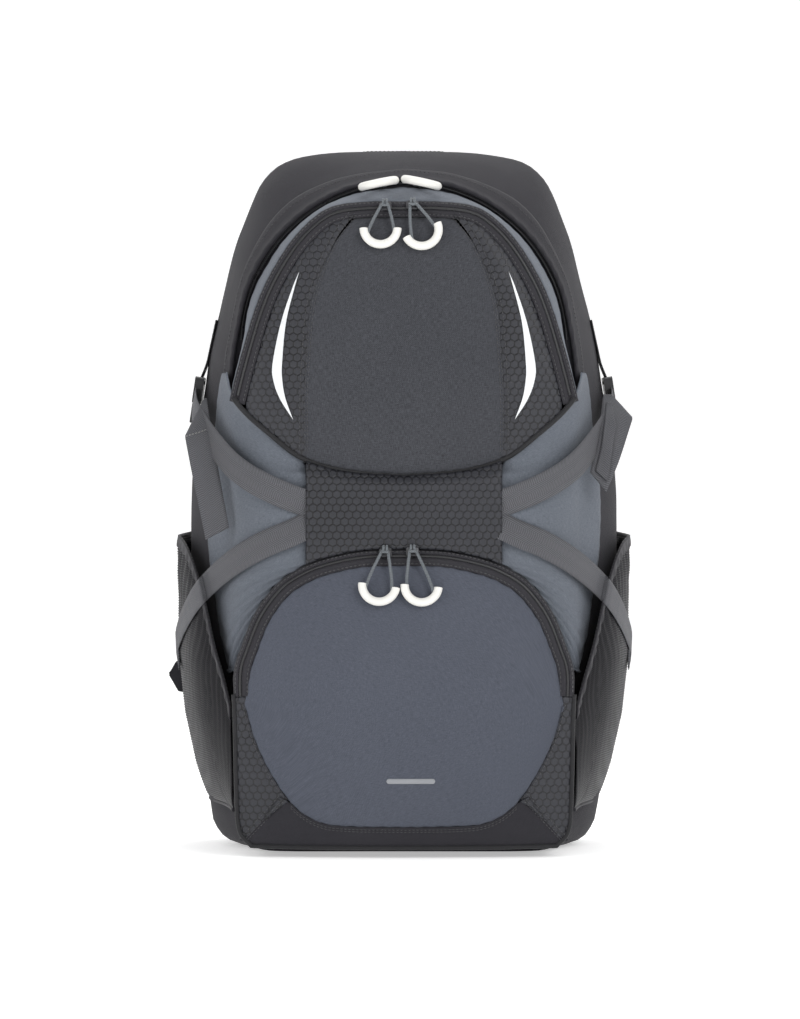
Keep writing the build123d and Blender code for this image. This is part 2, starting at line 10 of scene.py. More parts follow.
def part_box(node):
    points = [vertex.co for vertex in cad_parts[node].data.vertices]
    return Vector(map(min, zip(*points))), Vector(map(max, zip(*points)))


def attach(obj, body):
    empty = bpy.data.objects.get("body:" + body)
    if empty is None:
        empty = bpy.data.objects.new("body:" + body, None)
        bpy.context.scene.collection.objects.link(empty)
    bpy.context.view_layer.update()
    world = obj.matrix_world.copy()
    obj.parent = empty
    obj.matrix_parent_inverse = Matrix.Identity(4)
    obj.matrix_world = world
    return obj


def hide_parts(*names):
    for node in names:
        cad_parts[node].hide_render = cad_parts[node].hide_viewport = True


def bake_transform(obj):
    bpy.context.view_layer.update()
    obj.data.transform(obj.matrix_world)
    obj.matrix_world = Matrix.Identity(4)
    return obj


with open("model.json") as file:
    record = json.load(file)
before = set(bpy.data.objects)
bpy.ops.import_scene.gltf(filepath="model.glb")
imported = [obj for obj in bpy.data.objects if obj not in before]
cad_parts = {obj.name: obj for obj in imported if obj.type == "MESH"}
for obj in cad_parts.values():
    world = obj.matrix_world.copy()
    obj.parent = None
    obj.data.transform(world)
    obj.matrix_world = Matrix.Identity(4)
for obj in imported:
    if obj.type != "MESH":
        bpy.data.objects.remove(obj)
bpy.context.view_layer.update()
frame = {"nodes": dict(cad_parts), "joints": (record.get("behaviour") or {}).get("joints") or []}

# Daypack: soft goods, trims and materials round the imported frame. Lengths are written in
# millimetres and turned into metres where meshes are made. The front faces -Y.
MM = 0.001
CROWN_RADIUS = 600.0            # the front panels are caps of a sphere this large
ZIP_WIDTH = 12.0
CORD = 2.3
GRIP_RADIUS = 12.4
WEBBING = 1.5
STRAP_WIDTH = 20.0
CLOTH = 1.2                     # the thickness of one layer
MIDDLE = (0, 60, 260)           # a point inside the pack, which cloth faces away from
SEAM_REACH = 1.6                # how far cloth is sunk beside a seam
PUCKER_REACH = 7.0
PUCKER_LENGTH = 11.05
WELD_GAP = 0.05


# ---- places, read from the frame ----
def low(node):
    """The lowest corner of a CAD node, in millimetres."""
    return np.array(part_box(node)[0]) / MM


def high(node):
    return np.array(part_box(node)[1]) / MM


def joint(name):
    """Where a joint's axis is, in millimetres."""
    found = next(j for j in frame["joints"] if j["name"] == name)
    return np.array(found["pos_m"]) / MM


FRONT_Y = low("partition_panel")[1]
BACK_Y = high("back_panel")[1]
WIDEST_Y = FRONT_Y + 65.0
TOP_Z = high("top_panel")[2]
PANEL_APEX_Y = low("front_panel")[1]
PANEL_CENTRE_Z = joint("front_zip_left")[2]
PANEL_FOLD_Z = joint("front_flap_opens")[2]
POCKET_APEX_Y = low("lower_panel")[1]
POCKET_CENTRE_Z = joint("lower_zip_left")[2]
POCKET_FOLD_Z = joint("lower_flap_opens")[2]
MAIN_ZIP_Z = joint("main_zip_left")[2]


# ---- camera ----
def linked(name, data):
    """A new object in the scene."""
    obj = bpy.data.objects.new(name, data)
    bpy.context.scene.collection.objects.link(obj)
    return obj


def add_camera():
    """Level with the middle of the pack, far back with a long lens."""
    data = bpy.data.cameras.new("camera")
    data.lens = 145.2
    data.sensor_width = 36.0
    data.clip_end = 50.0
    camera = linked("camera", data)
    camera.location = (-0.0029, -3.11, 0.255)
    camera.rotation_euler = (math.radians(90), 0, 0)
    bpy.context.scene.camera = camera


add_camera()


# ---- lines ----
def even(line, count):
    """The same line as count points, evenly spaced."""
    line = np.asarray(line, float)
    gaps = np.linalg.norm(np.diff(line, axis=0), axis=1)
    along = np.concatenate([[0], np.cumsum(gaps)])
    wanted = np.linspace(0, along[-1], count)
    return np.stack([np.interp(wanted, along, line[:, k]) for k in range(line.shape[1])], 1)


def smooth(points, count=96):
    """A smooth line through the points, as evenly spaced points."""
    p = np.asarray(points, float)
    ends = np.vstack([2 * p[0] - p[1], p, 2 * p[-1] - p[-2]])
    line = []
    for a, b, c, d in zip(ends, ends[1:], ends[2:], ends[3:]):
        for t in np.linspace(0, 1, 16, endpoint=False):
            line.append(0.5 * (2 * b + (c - a) * t + (2 * a - 5 * b + 4 * c - d) * t ** 2
                               + (3 * b - a - 3 * c + d) * t ** 3))
    line.append(p[-1])
    return even(line, count)


def whole(half):
    """Both sides of a line that starts on the centre line."""
    half = np.asarray(half, float)
    return np.vstack([half[:0:-1] * [-1, 1], half])


def headings(line):
    """The direction of travel at each point of a line."""
    ahead = np.gradient(line, axis=0)
    return ahead / np.linalg.norm(ahead, axis=1)[:, None]


def averaged(values, reach):
    """A running average over reach values on each side."""
    count = 2 * reach + 1
    return np.convolve(np.pad(values, reach, mode="edge"), np.ones(count) / count, "valid")


def line_height(line, x):
    """The height of a front-view line at each x."""
    order = np.argsort(line[:, 0])
    return np.interp(x, line[order, 0], line[order, 1])


def inset(line, gap):
    """A front-view line that runs clockwise, moved inwards by gap."""
    ahead = headings(line)
    return line + np.stack([ahead[:, 1], -ahead[:, 0]], 1) * gap


def around_zip(angle, radius):
    """A point on a circle about the main zip's centre, at an angle from the top."""
    turn = math.radians(angle)
    return radius * math.sin(turn), MAIN_ZIP_Z + radius * math.cos(turn)


# Half outlines in the front view, from the top centre downwards, as (x, z).
BODY_FRONT = [around_zip(a, 125) for a in (0, 17, 34, 51, 68, 85)] + [
    (129, 355), (130, 310), (128, 200), (126, 100), (120, 30), (116, 10), (108, 2), (80, 0), (0, 0)]
BODY_WIDEST = [(0, 528), (50, 526.5), (78, 523), (94, 517.5), (105, 508), (112, 497), (121, 474), (129, 452),
               (138, 415), (146, 380), (151, 350), (161, 282), (161, 200), (154, 90), (147, 30), (142, 13),
               (130, 2.5), (100, 0), (0, 0)]
BODY_BACK = [(0, 519), (44, 517), (74, 508), (90, 486), (106, 452), (119, 415), (136, 335),
             (143, 280), (146, 200), (142, 90), (132, 30), (124, 8), (112, 1), (80, 0), (0, 0)]
RIM = [(0, 482), (27, 482), (51, 479), (67, 470), (84, 452), (100, 426), (110.5, 401), (121, 366), (129, 335)]
SEAM = [(36, 476), (51, 456), (61, 434), (69.5, 405), (73, 366), (74.5, 339), (74.5, 292.5)]
PIPING = [(0, 280), (43, 283.5), (74.5, 292.5), (100, 311.5), (117, 326.5), (128, 341), (132, 354)]
POCKET_ARCH = [(0, 226), (30, 225), (56, 220), (75, 213), (93, 201), (109, 180), (119, 156), (125, 135),
               (124, 100), (123, 50), (121, 20), (112, 8)]
POCKET_PANEL = [(0, 22.5), (40, 23), (62, 26), (81, 38), (98, 62), (110, 88), (117, 113)]
WING_EDGE = [(132, 356), (136.5, 357), (140.4, 339), (143, 313), (148.5, 267), (148.5, 238), (146.5, 212),
             (142.5, 190), (137.5, 158), (130, 134)]
WING_PLAN = [(70, -91.5), (100, -85), (122, -67), (136, -43), (152, -9), (158, 6)]


# ---- depths ----
def crown_y(apex, centre, x, z):
    """The depth of a cap whose apex is at this depth and height."""
    return apex + CROWN_RADIUS - np.sqrt(CROWN_RADIUS ** 2 - x ** 2 - (z - centre) ** 2)


def panel_y(x, z):
    return crown_y(PANEL_APEX_Y, PANEL_CENTRE_Z, x, z)


def pocket_y(x, z):
    return crown_y(POCKET_APEX_Y, POCKET_CENTRE_Z, x, z)


def plan_y(x):
    """The depth of the wings' line in the top view."""
    line = smooth(WING_PLAN, 200)
    return np.interp(np.abs(x), line[:, 0], line[:, 1])


def on(depth, line):
    """A front-view line laid on a surface given by its depth."""
    line = np.asarray(line, float)
    return np.stack([line[..., 0], depth(line[..., 0], line[..., 1]), line[..., 1]], -1)


# ---- meshes ----
def lay_cloth(mesh, uvs):
    """Gives each point its place on the cloth, in millimetres."""
    layer = mesh.uv_layers.new(name="cloth")
    corners = np.empty(len(mesh.loops), np.int32)
    mesh.loops.foreach_get("vertex_index", corners)
    layer.data.foreach_set("uv", (np.asarray(uvs)[corners] * MM).astype(np.float32).ravel())


def mesh_object(name, vertices, faces, uvs=None):
    mesh = bpy.data.meshes.new(name)
    mesh.from_pydata([tuple(v) for v in np.asarray(vertices) * MM], [], faces)
    if uvs is not None:
        lay_cloth(mesh, uvs)
    mesh.validate()
    mesh.shade_smooth()
    return linked(name, mesh)


def grid_faces(rows, columns, around=False):
    faces = []
    for i in range(rows - 1):
        for j in range(columns if around else columns - 1):
            k = (j + 1) % columns
            faces.append((i * columns + j, i * columns + k, (i + 1) * columns + k, (i + 1) * columns + j))
    return faces


def closed_faces(rings, sides):
    """The faces of a tube of rings, with both its ends closed."""
    last = (rings - 1) * sides
    caps = [tuple(range(sides))[::-1], tuple(last + k for k in range(sides))]
    return grid_faces(rings, sides, around=True) + caps


def lengths(grid, axis):
    """How far along each grid line a point is."""
    steps = np.linalg.norm(np.diff(grid, axis=axis), axis=2)
    pad = np.zeros_like(np.take(steps, [0], axis=axis))
    return np.cumsum(np.concatenate([pad, steps], axis=axis), axis=axis)


def grid_normals(grid):
    across = np.gradient(grid, axis=0)
    along = np.gradient(grid, axis=1)
    normal = np.cross(across, along)
    size = np.linalg.norm(normal, axis=2, keepdims=True)
    return normal / np.maximum(size, 1e-9)


def rumple(points, scale, seed):
    """Smooth noise between -1 and 1 at each point; scale is the size of its features."""
    flat = points.reshape(-1, 3)
    move = Vector((seed * 17.3, seed * 5.1, seed * 9.7))
    values = [noise.noise(Vector(p) / scale + move) for p in flat]
    return np.array(values).reshape(points.shape[:-1])


def outward(normal, grid, inside):
    """The normals, turned to point away from a point inside the pack."""
    facing = np.sum(normal * (grid - np.asarray(inside, float)))
    return normal if facing > 0 else -normal


def cloth_surface(grid, seed, dip=1.2, pucker=0.35, wrinkle=0.5, puff=0.0, inside=MIDDLE,
                  sew=(1, 1, 1, 1)):
    """The grid, shaped like sewn cloth: sunk into its seams, puckered beside them and slightly rumpled.
    sew says which of the borders (first row, last row, first column, last column) are seams."""
    normal = outward(grid_normals(grid), grid, inside)
    down, along = lengths(grid, 0), lengths(grid, 1)
    borders = [(down, along), (down[-1:] - down, along), (along, down), (along[:, -1:] - along, down)]
    rise = np.zeros(grid.shape[:2])
    wobble = rumple(grid, 25.0, seed) * 3
    narrow = np.clip(down[-1:] / 22.0, 0, 1)
    for used, (distance, run) in zip(sew, borders):
        if used:
            waves = np.sin(run * 2 * math.pi / PUCKER_LENGTH + wobble)
            rise -= dip * narrow * np.exp(-distance / SEAM_REACH)
            rise += pucker * narrow * np.exp(-distance / PUCKER_REACH) * waves
    nearest = np.minimum.reduce([distance for distance, _ in borders])
    middle = max(nearest.max(), 1e-6)
    rise += puff * (1 - (1 - np.minimum(nearest / middle, 1)) ** 2)
    rise += wrinkle * rumple(grid, 45.0, seed + 3) + wrinkle * 0.35 * rumple(grid, 14.0, seed + 5)
    return grid + normal * rise[..., None]


def face_out(obj, inside):
    """Turns the faces to look away from a point inside the piece."""
    mesh = obj.data
    total = sum((Vector(p.center) / MM - Vector(inside)).dot(p.normal) * p.area for p in mesh.polygons)
    if total < 0:
        mesh.flip_normals()


def thicken(obj, thickness, inside):
    """Gives a single surface this thickness, towards the inside."""
    face_out(obj, inside)
    solid = obj.modifiers.new("thickness", "SOLIDIFY")
    solid.thickness = thickness * MM
    solid.offset = -1
    apply_modifiers(obj)
    return obj


def apply_modifiers(obj):
    """Leaves the mesh that the object's modifiers make, without them."""
    graph = bpy.context.evaluated_depsgraph_get()
    graph.update()
    old = obj.data
    obj.data = bpy.data.meshes.new_from_object(obj.evaluated_get(graph))
    obj.data.name = obj.name
    obj.modifiers.clear()
    bpy.data.meshes.remove(old)


def grid_piece(name, grid, thickness=CLOTH, uv="arc", inside=MIDDLE):
    """A sheet of cloth from a grid of points. Its weave runs along the grid, or level in a front view."""
    rows, columns = grid.shape[:2]
    if uv == "front":
        coordinates = grid[..., [0, 2]]
    else:
        coordinates = np.stack([lengths(grid, 1), lengths(grid, 0)], -1)
    obj = mesh_object(name, grid.reshape(-1, 3), grid_faces(rows, columns), coordinates.reshape(-1, 2))
    weld = obj.modifiers.new("weld", "WELD")
    weld.merge_threshold = WELD_GAP * MM
    apply_modifiers(obj)
    return thicken(obj, thickness, inside)


def ruled(first, second, rows):
    """A grid of rows between two lines with as many points each."""
    t = np.linspace(0, 1, rows)[:, None, None]
    return first[None] * (1 - t) + second[None] * t


def edged(rows):
    """Row positions from 0 to 1, closer together at the ends."""
    t = np.linspace(0, 1, rows)
    return t - np.sin(2 * math.pi * t) / (2 * math.pi) * 0.75


def between(first, second, rows):
    """Like ruled, with its rows closer together at the two lines."""
    t = edged(rows)[:, None, None]
    return first[None] * (1 - t) + second[None] * t


def tube(name, line, radius, sides=8, ridges=0.0):
    """A round tube along a line; ridges makes every other ring smaller, like a zip's coil."""
    line = np.asarray(line, float)
    ahead = headings(line)
    side = np.cross(ahead, [0.0, 1.0, 0.0])
    weak = np.linalg.norm(side, axis=1) < 0.2
    side[weak] = np.cross(ahead[weak], [1.0, 0.0, 0.0])
    side /= np.linalg.norm(side, axis=1)[:, None]
    up = np.cross(side, ahead)
    size = radius * (1 - ridges * (np.arange(len(line)) % 2))
    turn = np.linspace(0, 2 * math.pi, sides, endpoint=False)
    rings = line[:, None] + size[:, None, None] * (
        side[:, None] * np.cos(turn)[None, :, None] + up[:, None] * np.sin(turn)[None, :, None])
    uvs = np.stack([np.tile(turn * radius, (len(line), 1)), lengths(rings, 0)], -1)
    obj = mesh_object(name, rings.reshape(-1, 3), closed_faces(len(line), sides), uvs.reshape(-1, 2))
    obj.data.flip_normals()
    return obj


def stitches(name, line, pitch=3.2, thread=0.45, inside=MIDDLE):
    """A row of stitches along a line that lies on the cloth: thick in the middle, with sunk ends."""
    sides, lift, sunk = 5, 0.25, -0.2
    line = np.asarray(line, float)
    count = max(3, int(lengths(line[None], 1)[0, -1] / pitch))
    at = even(line, count * 4 + 1)
    vertices, faces = [], []
    for i in range(count):
        a, b = at[i * 4], at[i * 4 + 3]
        ahead = (b - a) / max(np.linalg.norm(b - a), 1e-9)
        out = a - np.asarray(inside, float)
        out -= ahead * out.dot(ahead)
        out /= np.linalg.norm(out)
        side = np.cross(ahead, out)
        base = len(vertices)
        for point, size, rise in ((a, 0.35, sunk), ((a + b) / 2, 1.0, lift), (b, 0.35, sunk)):
            for k in range(sides):
                turn = 2 * math.pi * k / sides
                vertices.append(point + out * (rise + thread * size * math.sin(turn))
                                + side * thread * size * math.cos(turn))
        faces += [tuple(base + corner for corner in face) for face in closed_faces(3, sides)]
    return mesh_object(name, vertices, faces)


def joined(name, objects):
    """One object from several; the first one's place and name win."""
    bpy.ops.object.select_all(action="DESELECT")
    for o in objects:
        o.select_set(True)
    bpy.context.view_layer.objects.active = objects[0]
    bpy.ops.object.join()
    objects[0].name = name
    objects[0].data.name = name
    return objects[0]


# ---- materials ----
class Nodes:
    """A short way to write a node tree: each call adds one node and returns its first output."""

    def __init__(self, name):
        self.material = bpy.data.materials.new(name)
        self.material.use_nodes = True
        self.tree = self.material.node_tree
        self.shader = self.tree.nodes["Principled BSDF"]

    def add(self, kind, inputs=None, output=0, **settings):
        node = self.tree.nodes.new(kind)
        for key, value in settings.items():
            setattr(node, key, value)
        for key, value in (inputs or {}).items():
            if isinstance(value, bpy.types.NodeSocket):
                self.tree.links.new(value, node.inputs[key])
            else:
                node.inputs[key].default_value = value
        return node.outputs[output]

    def math(self, operation, a, b=0.0, c=0.0):
        return self.add("ShaderNodeMath", {0: a, 1: b, 2: c}, operation=operation)

    def vector(self, operation, a, b=(0, 0, 0), output=0):
        return self.add("ShaderNodeVectorMath", {0: a, 1: b}, output=output, operation=operation)

    def noise(self, place, scale, detail=3.0, rough=0.6):
        return self.add("ShaderNodeTexNoise", {"Vector": place, "Scale": scale, "Detail": detail,
                                               "Roughness": rough})

    def ramp(self, value, low_value, high_value, low_to=0.0, high_to=1.0):
        return self.add("ShaderNodeMapRange", {0: value, 1: low_value, 2: high_value, 3: low_to, 4: high_to})

    def mix(self, factor, a, b, blend="MIX"):
        node = self.tree.nodes.new("ShaderNodeMix")
        node.data_type = "RGBA"
        node.blend_type = blend
        for index, value in ((0, factor), (6, a), (7, b)):
            if isinstance(value, bpy.types.NodeSocket):
                self.tree.links.new(value, node.inputs[index])
            else:
                node.inputs[index].default_value = value if index == 0 or len(value) == 4 else (*value, 1.0)
        return node.outputs[2]

    def spread(self, noise, low_to=0.0, high_to=1.0):
        """The middle of a noise's range, stretched to this one."""
        return self.ramp(noise, 0.3, 0.7, low_to, high_to)

    def link(self, socket, name):
        self.tree.links.new(socket, self.shader.inputs[name])

    def set(self, **values):
        for key, value in values.items():
            self.shader.inputs[key.replace("_", " ")].default_value = value

    def bump(self, height, strength, distance):
        normal = self.add("ShaderNodeBump", {"Height": height, "Strength": strength, "Distance": distance})
        self.link(normal, "Normal")

    def cloth_place(self):
        """The cloth's own coordinates, in metres."""
        return self.add("ShaderNodeUVMap", uv_map="cloth")

    def object_place(self):
        return self.add("ShaderNodeTexCoord", output=3)


def shade(colour, k):
    return tuple(min(1.0, c * k) for c in colour)


def weave_height(n, place, pitch):
    """A plain weave: threads cross over and under each other every pitch millimetres."""
    scale = math.pi / (pitch * MM)
    across = n.add("ShaderNodeSeparateXYZ", {0: place})
    along = across.node.outputs[1]
    sine_x = n.math("SINE", n.math("MULTIPLY", across, scale))
    sine_y = n.math("SINE", n.math("MULTIPLY", along, scale))
    return n.math("MULTIPLY_ADD", n.math("MULTIPLY", sine_x, sine_y), 0.5, 0.5)


def woven(name, colour, pitch=0.55, mottle=0.25, rough=0.8, sheen=0.06, grain=1.0):
    """Plain-woven cloth with uneven yarn, a little fuzz and soft large-scale fading."""
    n = Nodes(name)
    place = n.cloth_place()
    solid = n.object_place()
    weave = weave_height(n, place, pitch)
    yarn = n.noise(n.add("ShaderNodeMapping", {"Vector": place, "Scale": (2600, 260, 1)}), 1.0, 2.0)
    weft = n.noise(n.add("ShaderNodeMapping", {"Vector": place, "Scale": (260, 2600, 1)}), 1.0, 2.0)
    speckle = n.math("MULTIPLY_ADD", n.math("ADD", yarn, weft), 0.5 * grain, 0.5 - 0.5 * grain)
    patch = n.noise(solid, 9.0, 3.0)
    tone = n.mix(n.ramp(speckle, 0.35, 0.65), shade(colour, 1 - mottle), shade(colour, 1 + mottle))
    tone = n.mix(n.ramp(weave, 0, 1, 0.0, 0.3), tone, shade(colour, 0.75))
    tone = n.mix(n.spread(patch, 0.0, 0.16), tone, shade(colour, 0.7))
    n.link(tone, "Base Color")
    n.link(n.spread(patch, rough - 0.05, rough + 0.08), "Roughness")
    n.set(Sheen_Weight=sheen, Sheen_Roughness=0.5, Specular_IOR_Level=0.2)
    n.bump(n.math("ADD", weave, n.math("MULTIPLY", speckle, 0.6)), 0.5, 0.00012)
    return n.material


def hexagons(name, groove, cell, pitch=5.8, rough=0.42, line=0.85):
    """Coated cloth embossed with a grid of hexagons."""
    n = Nodes(name)
    place = n.vector("SCALE", n.cloth_place())
    place.node.inputs[3].default_value = 1000.0 / pitch
    tall = math.sqrt(3)
    step = (1.0, tall, 1.0)
    half = (0.5, tall / 2, 0.5)
    cells = []
    for start in (place, n.vector("SUBTRACT", place, half)):
        shifted = n.vector("ADD", start, (500.0, 500.0 * tall, 0.5))
        local = n.vector("SUBTRACT", n.vector("MODULO", shifted, step), half)
        cells.append(n.vector("MULTIPLY", local, (1.0, 1.0, 0.0)))
    sizes = [n.vector("LENGTH", c, output=1) for c in cells]
    first = n.math("LESS_THAN", sizes[0], sizes[1])
    nearest = n.add("ShaderNodeMix", {0: first, 4: cells[1], 5: cells[0]}, output=1, data_type="VECTOR")
    apart = n.vector("ABSOLUTE", nearest)
    slanted = n.vector("DOT_PRODUCT", apart, (0.5, tall / 2, 0.0), output=1)
    reach = n.math("MAXIMUM", slanted, n.add("ShaderNodeSeparateXYZ", {0: apart}))
    edge = line / pitch / 2
    limits = {0: reach, 1: 0.5 - edge * 0.4, 2: 0.5 - edge * 2.0, 3: 0.0, 4: 1.0}
    inside = n.add("ShaderNodeMapRange", limits, interpolation_type="SMOOTHSTEP")
    dome = n.ramp(reach, 0.0, 0.5, 1.0, 0.0)
    grain = n.noise(n.cloth_place(), 1500.0, 2.0)
    fade = n.noise(n.object_place(), 12.0, 2.0)
    tone = n.mix(inside, groove, cell)
    tone = n.mix(n.spread(grain, 0.0, 0.35), tone, shade(groove, 0.8))
    tone = n.mix(n.spread(fade, 0.0, 0.25), tone, shade(cell, 1.3))
    n.link(tone, "Base Color")
    n.link(n.ramp(inside, 0.0, 1.0, rough - 0.12, rough + 0.12), "Roughness")
    n.set(Specular_IOR_Level=0.4)
    height = n.math("ADD", n.math("MULTIPLY", inside, 0.7), n.math("MULTIPLY", dome, 0.25))
    n.bump(n.math("ADD", height, n.math("MULTIPLY", grain, 0.12)), 0.8, 0.0005)
    return n.material


def herringbone(name, colour, rows=4.0, pitch=1.6, rough=0.7):
    """Webbing: diagonal ribs that change direction in bands across its width."""
    n = Nodes(name)
    place = n.cloth_place()
    parts = n.add("ShaderNodeSeparateXYZ", {0: place})
    across = n.math("MULTIPLY", parts.node.outputs[1], rows / (STRAP_WIDTH * MM))
    zigzag = n.math("PINGPONG", across, 1.0)
    slope = n.math("MULTIPLY_ADD", parts, 1 / (pitch * MM), n.math("MULTIPLY", zigzag, 2.4))
    rib = n.math("MULTIPLY_ADD", n.math("SINE", n.math("MULTIPLY", slope, 2 * math.pi)), 0.5, 0.5)
    grain = n.noise(place, 900.0, 3.0)
    tone = n.mix(rib, shade(colour, 0.52), shade(colour, 1.42))
    tone = n.mix(n.spread(grain, 0.0, 0.4), tone, shade(colour, 0.78))
    n.link(tone, "Base Color")
    n.link(n.spread(grain, rough - 0.08, rough + 0.1), "Roughness")
    n.set(Sheen_Weight=0.06, Specular_IOR_Level=0.25)
    n.bump(n.math("MULTIPLY_ADD", grain, 0.4, rib), 0.7, 0.00035)
    return n.material


def ribbed(name, colour, pitch=2.1, rough=0.6):
    """Stretch cloth with fine level ribs that catch the light."""
    n = Nodes(name)
    place = n.cloth_place()
    parts = n.add("ShaderNodeSeparateXYZ", {0: place})
    level = parts.node.outputs[1]
    rib = n.math("SINE", n.math("MULTIPLY", level, 2 * math.pi / (pitch * MM)))
    rib = n.math("MULTIPLY_ADD", rib, 0.5, 0.5)
    grain = n.noise(place, 1100.0, 3.0)
    patch = n.noise(n.object_place(), 14.0, 3.0)
    tone = n.mix(rib, shade(colour, 0.55), shade(colour, 1.25))
    tone = n.mix(n.ramp(grain, 0.35, 0.65, 0.0, 0.35), tone, shade(colour, 0.6))
    tone = n.mix(n.spread(patch, 0.0, 0.25), tone, shade(colour, 0.7))
    n.link(tone, "Base Color")
    n.link(n.ramp(rib, 0, 1, rough + 0.1, rough - 0.12), "Roughness")
    n.set(Sheen_Weight=0.04, Specular_IOR_Level=0.35)
    n.bump(n.math("MULTIPLY_ADD", grain, 0.3, rib), 0.7, 0.0004)
    return n.material


def moulded(name, colour, rough=0.4, coat=0.0, grain_scale=700.0, painted_edge_highlight=0.5):
    """Moulded plastic or rubber with a fine grain. Where the last argument isn't 0, its sharp edges are
    painted paler as a painted highlight.
    """
    n = Nodes(name)
    solid = n.object_place()
    grain = n.noise(solid, grain_scale, 3.0)
    smear = n.noise(solid, 60.0, 3.0)
    # Pointiness: sharp, pointy edges are painted paler, a painted highlight along them.
    point = n.add("ShaderNodeNewGeometry", output=7)
    edge = n.ramp(point, 0.52, 0.62, 0.0, painted_edge_highlight)
    tone = n.mix(n.spread(smear, 0.0, 0.3), colour, shade(colour, 0.82))
    tone = n.mix(edge, tone, shade(colour, 1.6))
    n.link(tone, "Base Color")
    n.link(n.spread(smear, rough - 0.07, rough + 0.1), "Roughness")
    n.set(Coat_Weight=coat, Specular_IOR_Level=0.5)
    n.bump(grain, 0.25, 0.00006)
    return n.material


def metal(name, colour, rough=0.3):
    n = Nodes(name)
    solid = n.object_place()
    smear = n.noise(solid, 180.0, 3.0)
    n.link(n.mix(n.spread(smear), shade(colour, 0.8), shade(colour, 1.2)), "Base Color")
    n.link(n.spread(smear, rough - 0.1, rough + 0.12), "Roughness")
    n.set(Metallic=1.0)
    n.bump(n.noise(solid, 900.0, 2.0), 0.15, 0.00004)
    return n.material


def thread(name, colour):
    n = Nodes(name)
    grain = n.noise(n.object_place(), 1400.0, 2.0)
    n.link(n.mix(n.spread(grain), shade(colour, 0.75), shade(colour, 1.2)), "Base Color")
    n.link(n.spread(grain, 0.55, 0.7), "Roughness")
    n.set(Sheen_Weight=0.1)
    n.bump(grain, 0.3, 0.0001)
    return n.material


def braided(name, colour, pitch=2.4):
    """Braided cord: two crossing spirals of thread."""
    n = Nodes(name)
    solid = n.object_place()
    parts = n.add("ShaderNodeSeparateXYZ", {0: solid})
    turn = 2 * math.pi / (pitch * MM)
    lines = []
    for lean in (1.0, -1.0):
        mixed = n.math("MULTIPLY_ADD", parts, lean, parts.node.outputs[2])
        lines.append(n.math("SINE", n.math("MULTIPLY", mixed, turn)))
    knit = n.math("MULTIPLY_ADD", n.math("MULTIPLY", lines[0], lines[1]), 0.5, 0.5)
    grain = n.noise(solid, 1200.0, 2.0)
    tone = n.mix(knit, shade(colour, 0.6), shade(colour, 1.25))
    n.link(n.mix(n.spread(grain, 0.0, 0.3), tone, shade(colour, 0.7)), "Base Color")
    n.link(n.spread(grain, 0.55, 0.75), "Roughness")
    n.set(Sheen_Weight=0.2)
    n.bump(knit, 0.6, 0.0003)
    return n.material


def reflective(name):
    """Silver retro-reflective tape: tiny glass beads in rows, slightly scuffed."""
    n = Nodes(name)
    place = n.object_place()
    beads = n.add("ShaderNodeTexVoronoi", {"Vector": place, "Scale": 1500.0})
    scuff = n.noise(place, 120.0, 4.0)
    tone = n.mix(n.ramp(beads, 0.0, 0.6), (0.9, 0.91, 0.92), (0.72, 0.74, 0.76))
    n.link(n.mix(n.ramp(scuff, 0.62, 0.75, 0.0, 0.35), tone, (0.4, 0.41, 0.43)), "Base Color")
    n.link(n.spread(scuff, 0.28, 0.45), "Roughness")
    n.set(Specular_IOR_Level=0.6)
    n.bump(beads, 0.15, 0.00005)
    return n.material


M = {
    "charcoal_fabric": woven("charcoal_fabric", (0.026, 0.025, 0.030), 0.5, 0.22),
    "slate_fabric": woven("slate_fabric", (0.124, 0.138, 0.163), 0.55, 0.3, grain=1.2),
    "lower_slate": woven("lower_slate", (0.077, 0.085, 0.109), 0.55, 0.26, grain=1.2),
    "heather_fabric": woven("heather_fabric", (0.049, 0.051, 0.059), 0.7, 0.42, grain=1.3),
    "hex_fabric": hexagons("hex_fabric", (0.0035, 0.0035, 0.0045), (0.029, 0.030, 0.037)),
    "stretch_mesh": ribbed("stretch_mesh", (0.0095, 0.009, 0.0125)),
    "zip_tape": woven("zip_tape", (0.028, 0.027, 0.032), 0.9, 0.2, rough=0.68),
    "zip_coil": moulded("zip_coil", (0.022, 0.022, 0.024), 0.32, painted_edge_highlight=0.0),
    "piping": woven("piping", (0.022, 0.022, 0.024), 0.8, 0.2, rough=0.6),
    "binding": woven("binding", (0.027, 0.026, 0.031), 0.9, 0.25, rough=0.62),
    "grey_webbing": herringbone("grey_webbing", (0.098, 0.099, 0.109)),
    "black_webbing": herringbone("black_webbing", (0.028, 0.028, 0.031)),
    # black_plastic keeps the default painted highlight on its sharp edges.
    "black_plastic": moulded("black_plastic", (0.018, 0.018, 0.02), 0.34),
    "frame_plastic": moulded("frame_plastic", (0.6, 0.6, 0.58), 0.5, painted_edge_highlight=0.0),
    "air_mesh": hexagons("air_mesh", (0.012, 0.012, 0.014), (0.042, 0.042, 0.046), 3.2, 0.7, 1.1),
    "grip_rubber": moulded("grip_rubber", (0.8, 0.79, 0.75), 0.42, 0.1, 500.0, 0.0),
    "slider_metal": metal("slider_metal", (0.16, 0.16, 0.17), 0.32),
    "pull_cord": braided("pull_cord", (0.13, 0.145, 0.16)),
    "dark_thread": thread("dark_thread", (0.05, 0.05, 0.054)),
    "grey_thread": thread("grey_thread", (0.13, 0.14, 0.15)),
    "pale_thread": thread("pale_thread", (0.32, 0.32, 0.31)),
    "reflective_tape": reflective("reflective_tape"),
    "printed_grey": moulded("printed_grey", (0.27, 0.28, 0.3), 0.35, painted_edge_highlight=0.0),
}


